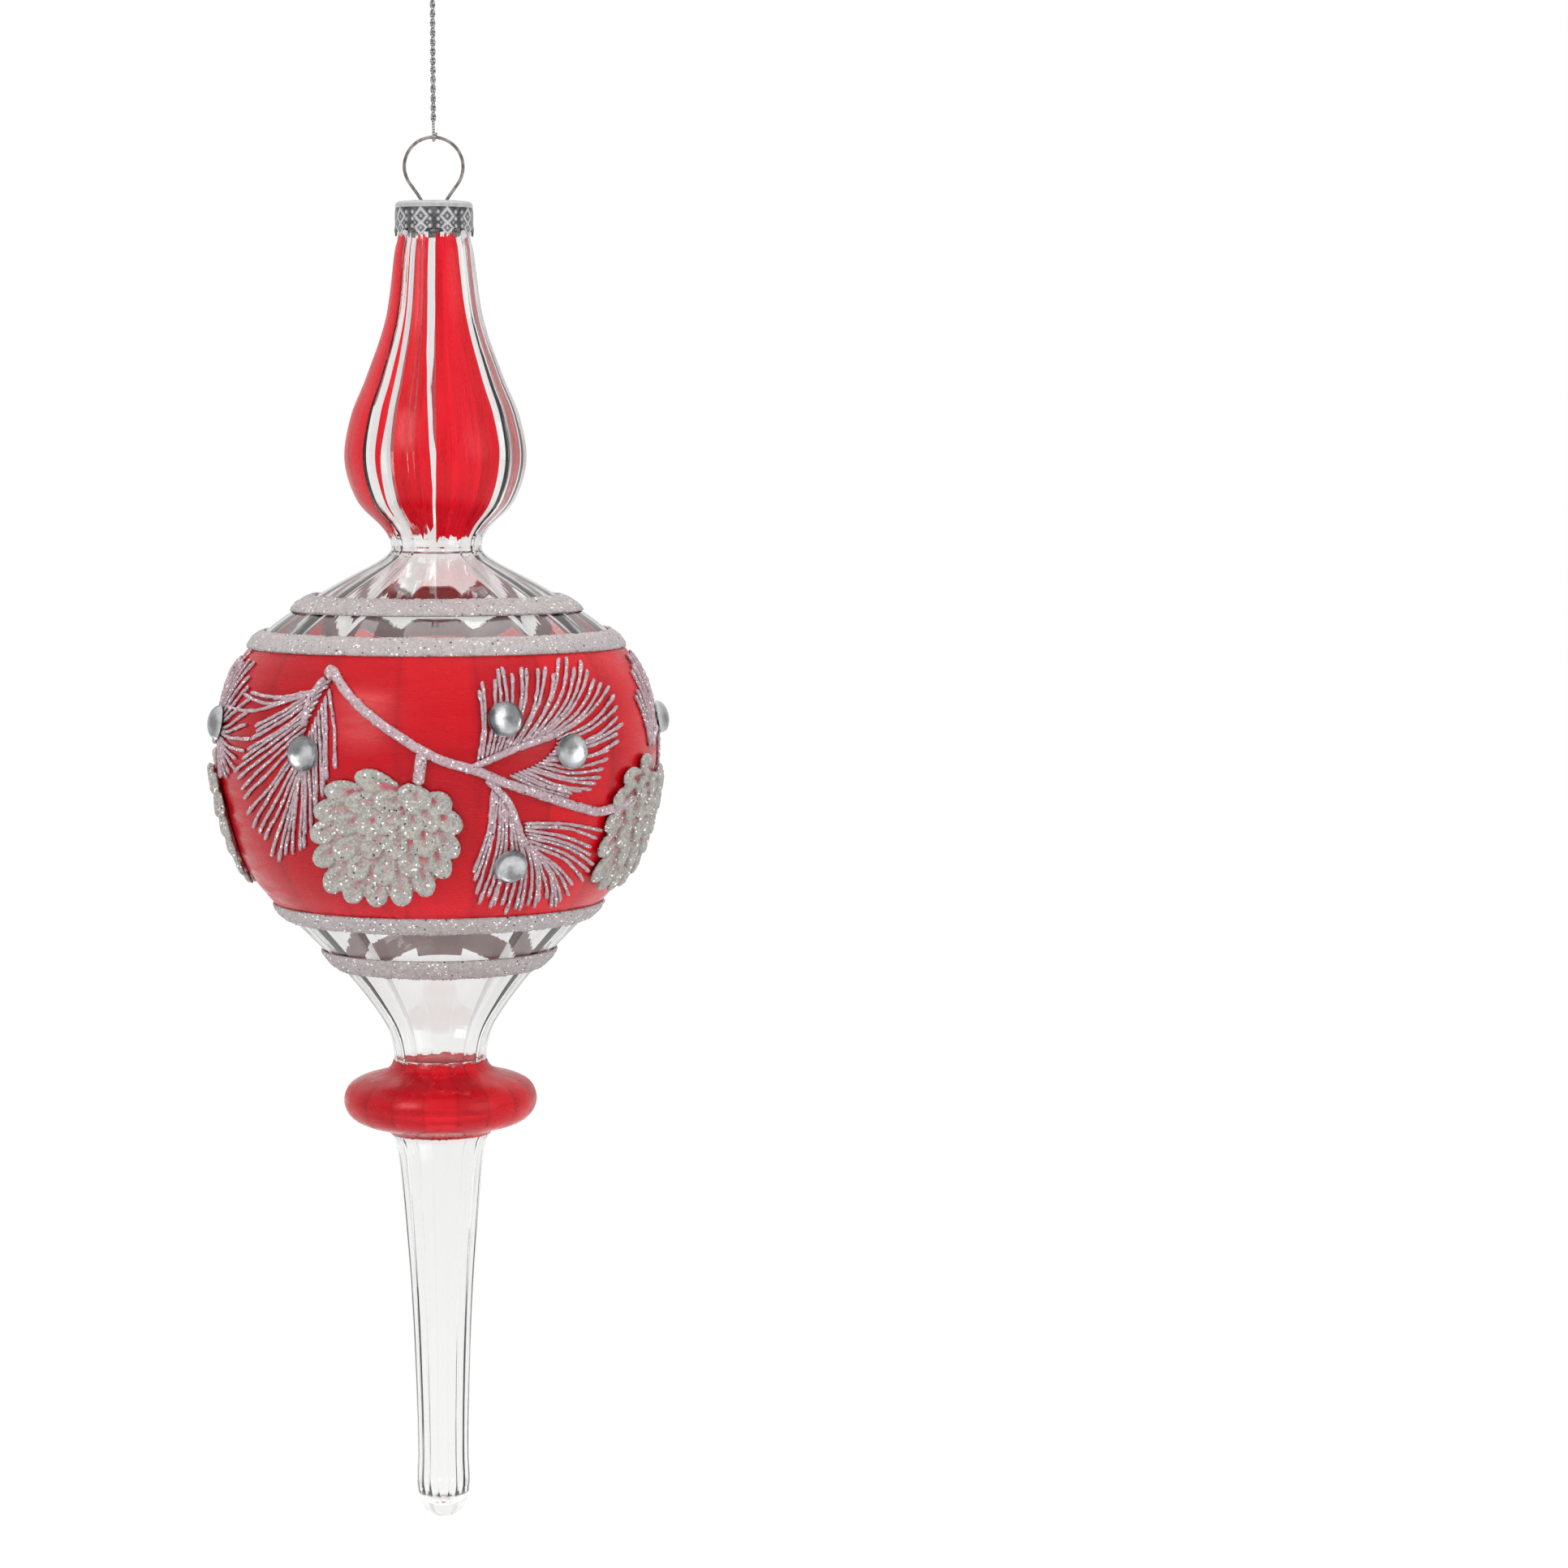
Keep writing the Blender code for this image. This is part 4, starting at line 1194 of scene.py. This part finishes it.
def hollowness(flat):
    # how far each place lies below the scales round it, from 0 to 1
    places = np.array([vertex.co for vertex in flat.data.vertices]) / mm
    cells = np.floor((places[:, :2] + 20.0) / 0.25).astype(int)
    heights = np.zeros((160, 160))
    np.maximum.at(heights, (cells[:, 0], cells[:, 1]), places[:, 2])
    wide = np.zeros_like(heights)
    reach = range(-5, 6)
    for across in reach:
        for along in reach:
            wide += np.roll(heights, (across, along), axis=(0, 1))
    wide /= len(reach) ** 2
    return np.clip((wide[cells[:, 0], cells[:, 1]] - places[:, 2]) / 0.55 + 0.12, 0.0, 1.0)


def makeCones(glitter):
    scale = makeScale()
    stemX, stemY = coneSetup["stemEnd"]
    pieces = []
    for number, (tipX, tipY, length) in enumerate(coneScales):
        copy = copyOf(scale, "coneScale")
        towards = Vector((tipX - stemX, tipY - stemY + 3.0)).normalized()
        layer = number / (len(coneScales) - 1)
        width = coneSetup["width"] * (1.0 + 0.04 * noise.noise(Vector((number * 1.7, 0, 0))))
        for vertex in copy.data.vertices:
            x, y, z = vertex.co
            across, along = x * width, (y - 0.5) * length
            lift = coneSetup["lift"] + z * coneSetup["thick"] + coneSetup["rise"] * (y + 0.5)
            lift += coneSetup["stack"] * layer * (1 - 0.25 * (y + 0.5))
            vertex.co = Vector((tipX + towards.y * across + towards.x * along,
                                tipY - towards.x * across + towards.y * along, lift)) * mm
        pieces.append(copy)
    # the thin bed of glue under the scales
    bed = added(bpy.ops.mesh.primitive_uv_sphere_add, segments=32, ring_count=12, radius=1.0)
    for vertex in bed.data.vertices:
        x, y, z = vertex.co
        vertex.co = Vector((-0.4 + x * (11.2 - 0.6 * y), -0.6 + y * 9.6, 0.25 + z * 0.6)) * mm
    flat = joinAs("coneFlat", pieces + [bed])
    removePiece(scale)
    flat.data.remesh_voxel_size = coneSetup["voxel"] * mm
    pick(flat)
    bpy.ops.object.voxel_remesh()
    soften = flat.modifiers.new("soften", "SMOOTH")
    soften.iterations = 2
    soften.factor = 0.4
    applyAll(flat)
    # this hollow measure makes the cones darker and redder low between the scales: partly thin glue over the
    # red coat, partly painted shade
    store = flat.data.attributes.new("thinAndShaded", "FLOAT", "POINT")
    store.data.foreach_set("value", hollowness(flat))
    roughen(flat, 0.06 * mm)
    number = 0
    for turn in motifTurns:
        for azimuth, depth in coneSetup["places"]:
            number += 1
            cone = copyOf(flat, f"pineCone{number}")
            for vertex in cone.data.vertices:
                vertex.co.z += pasteLift * mm
            wrapFlat(cone, azimuth + turn, depth)
            dress(cone, glitter)
            finishPiece(cone, "glass", [f"pine_cone_{number}"])
    print("cones made:", len(flat.data.polygons))
    removePiece(flat)


gemSetup = {"places": ((-35, 93.0), (17, 87.3), (35, 93.0), (19.5, 111.7), (86, 89.5)),
            "radius": 3.0, "height": 1.85}


def makeGems(clear, foil):
    radius, height = gemSetup["radius"], gemSetup["height"]
    profile = [(0.0, 0.0), (0.45 * radius, 0.0), (0.88 * radius, 0.0)]
    profile += [(radius * math.cos(turn), 0.14 + height * math.sin(turn))
                for turn in (math.radians(angle) for angle in range(0, 90, 6))]
    profile.append((0.0, 0.14 + height))
    dome = spinLine("gemDome", [(x * mm, z * mm) for x, z in profile], 48)
    dress(dome, clear, foil, angle=50)
    for face in dome.data.polygons:
        face.material_index = 1 if face.normal.z < -0.9 else 0
    number = 0
    for turn in motifTurns:
        for azimuth, depth in gemSetup["places"]:
            number += 1
            gem = copyOf(dome, f"glassGem{number}")
            angle = math.radians(azimuth + turn)
            up = glassNormal(angle, depth)
            side = up.cross(Vector((0, 0, 1))).normalized()
            lean = Matrix((side, up.cross(side), up)).transposed()
            place = glassPoint(angle, depth, 0.75 * mm)
            for vertex in gem.data.vertices:
                vertex.co = place + lean @ vertex.co
            gem.data.update()
            finishPiece(gem, "glass", [f"gem_{number}"])
    removePiece(dome)
    print("gems set")


def build():
    materials = makeMaterials()
    makeCamera()
    makeCord(materials["thread"])
    makeStage()
    makeWorld()
    makeHanger(materials["steel"])
    makeCap(materials["tin"])
    makeGlass(materials["glass"])
    makeCoats(materials["coat"])
    for name, node, end, ragged, strips in bulbStripes:
        makeStripe(name, node, end, ragged, strips, materials["stripe"])
    print("stripes painted")
    makeBands(materials["band"], materials["under"])
    makeTwigs(materials["line"])
    makeNeedles(materials["line"])
    makeCones(materials["cone"])
    makeGems(materials["gem"], materials["foil"])


build()
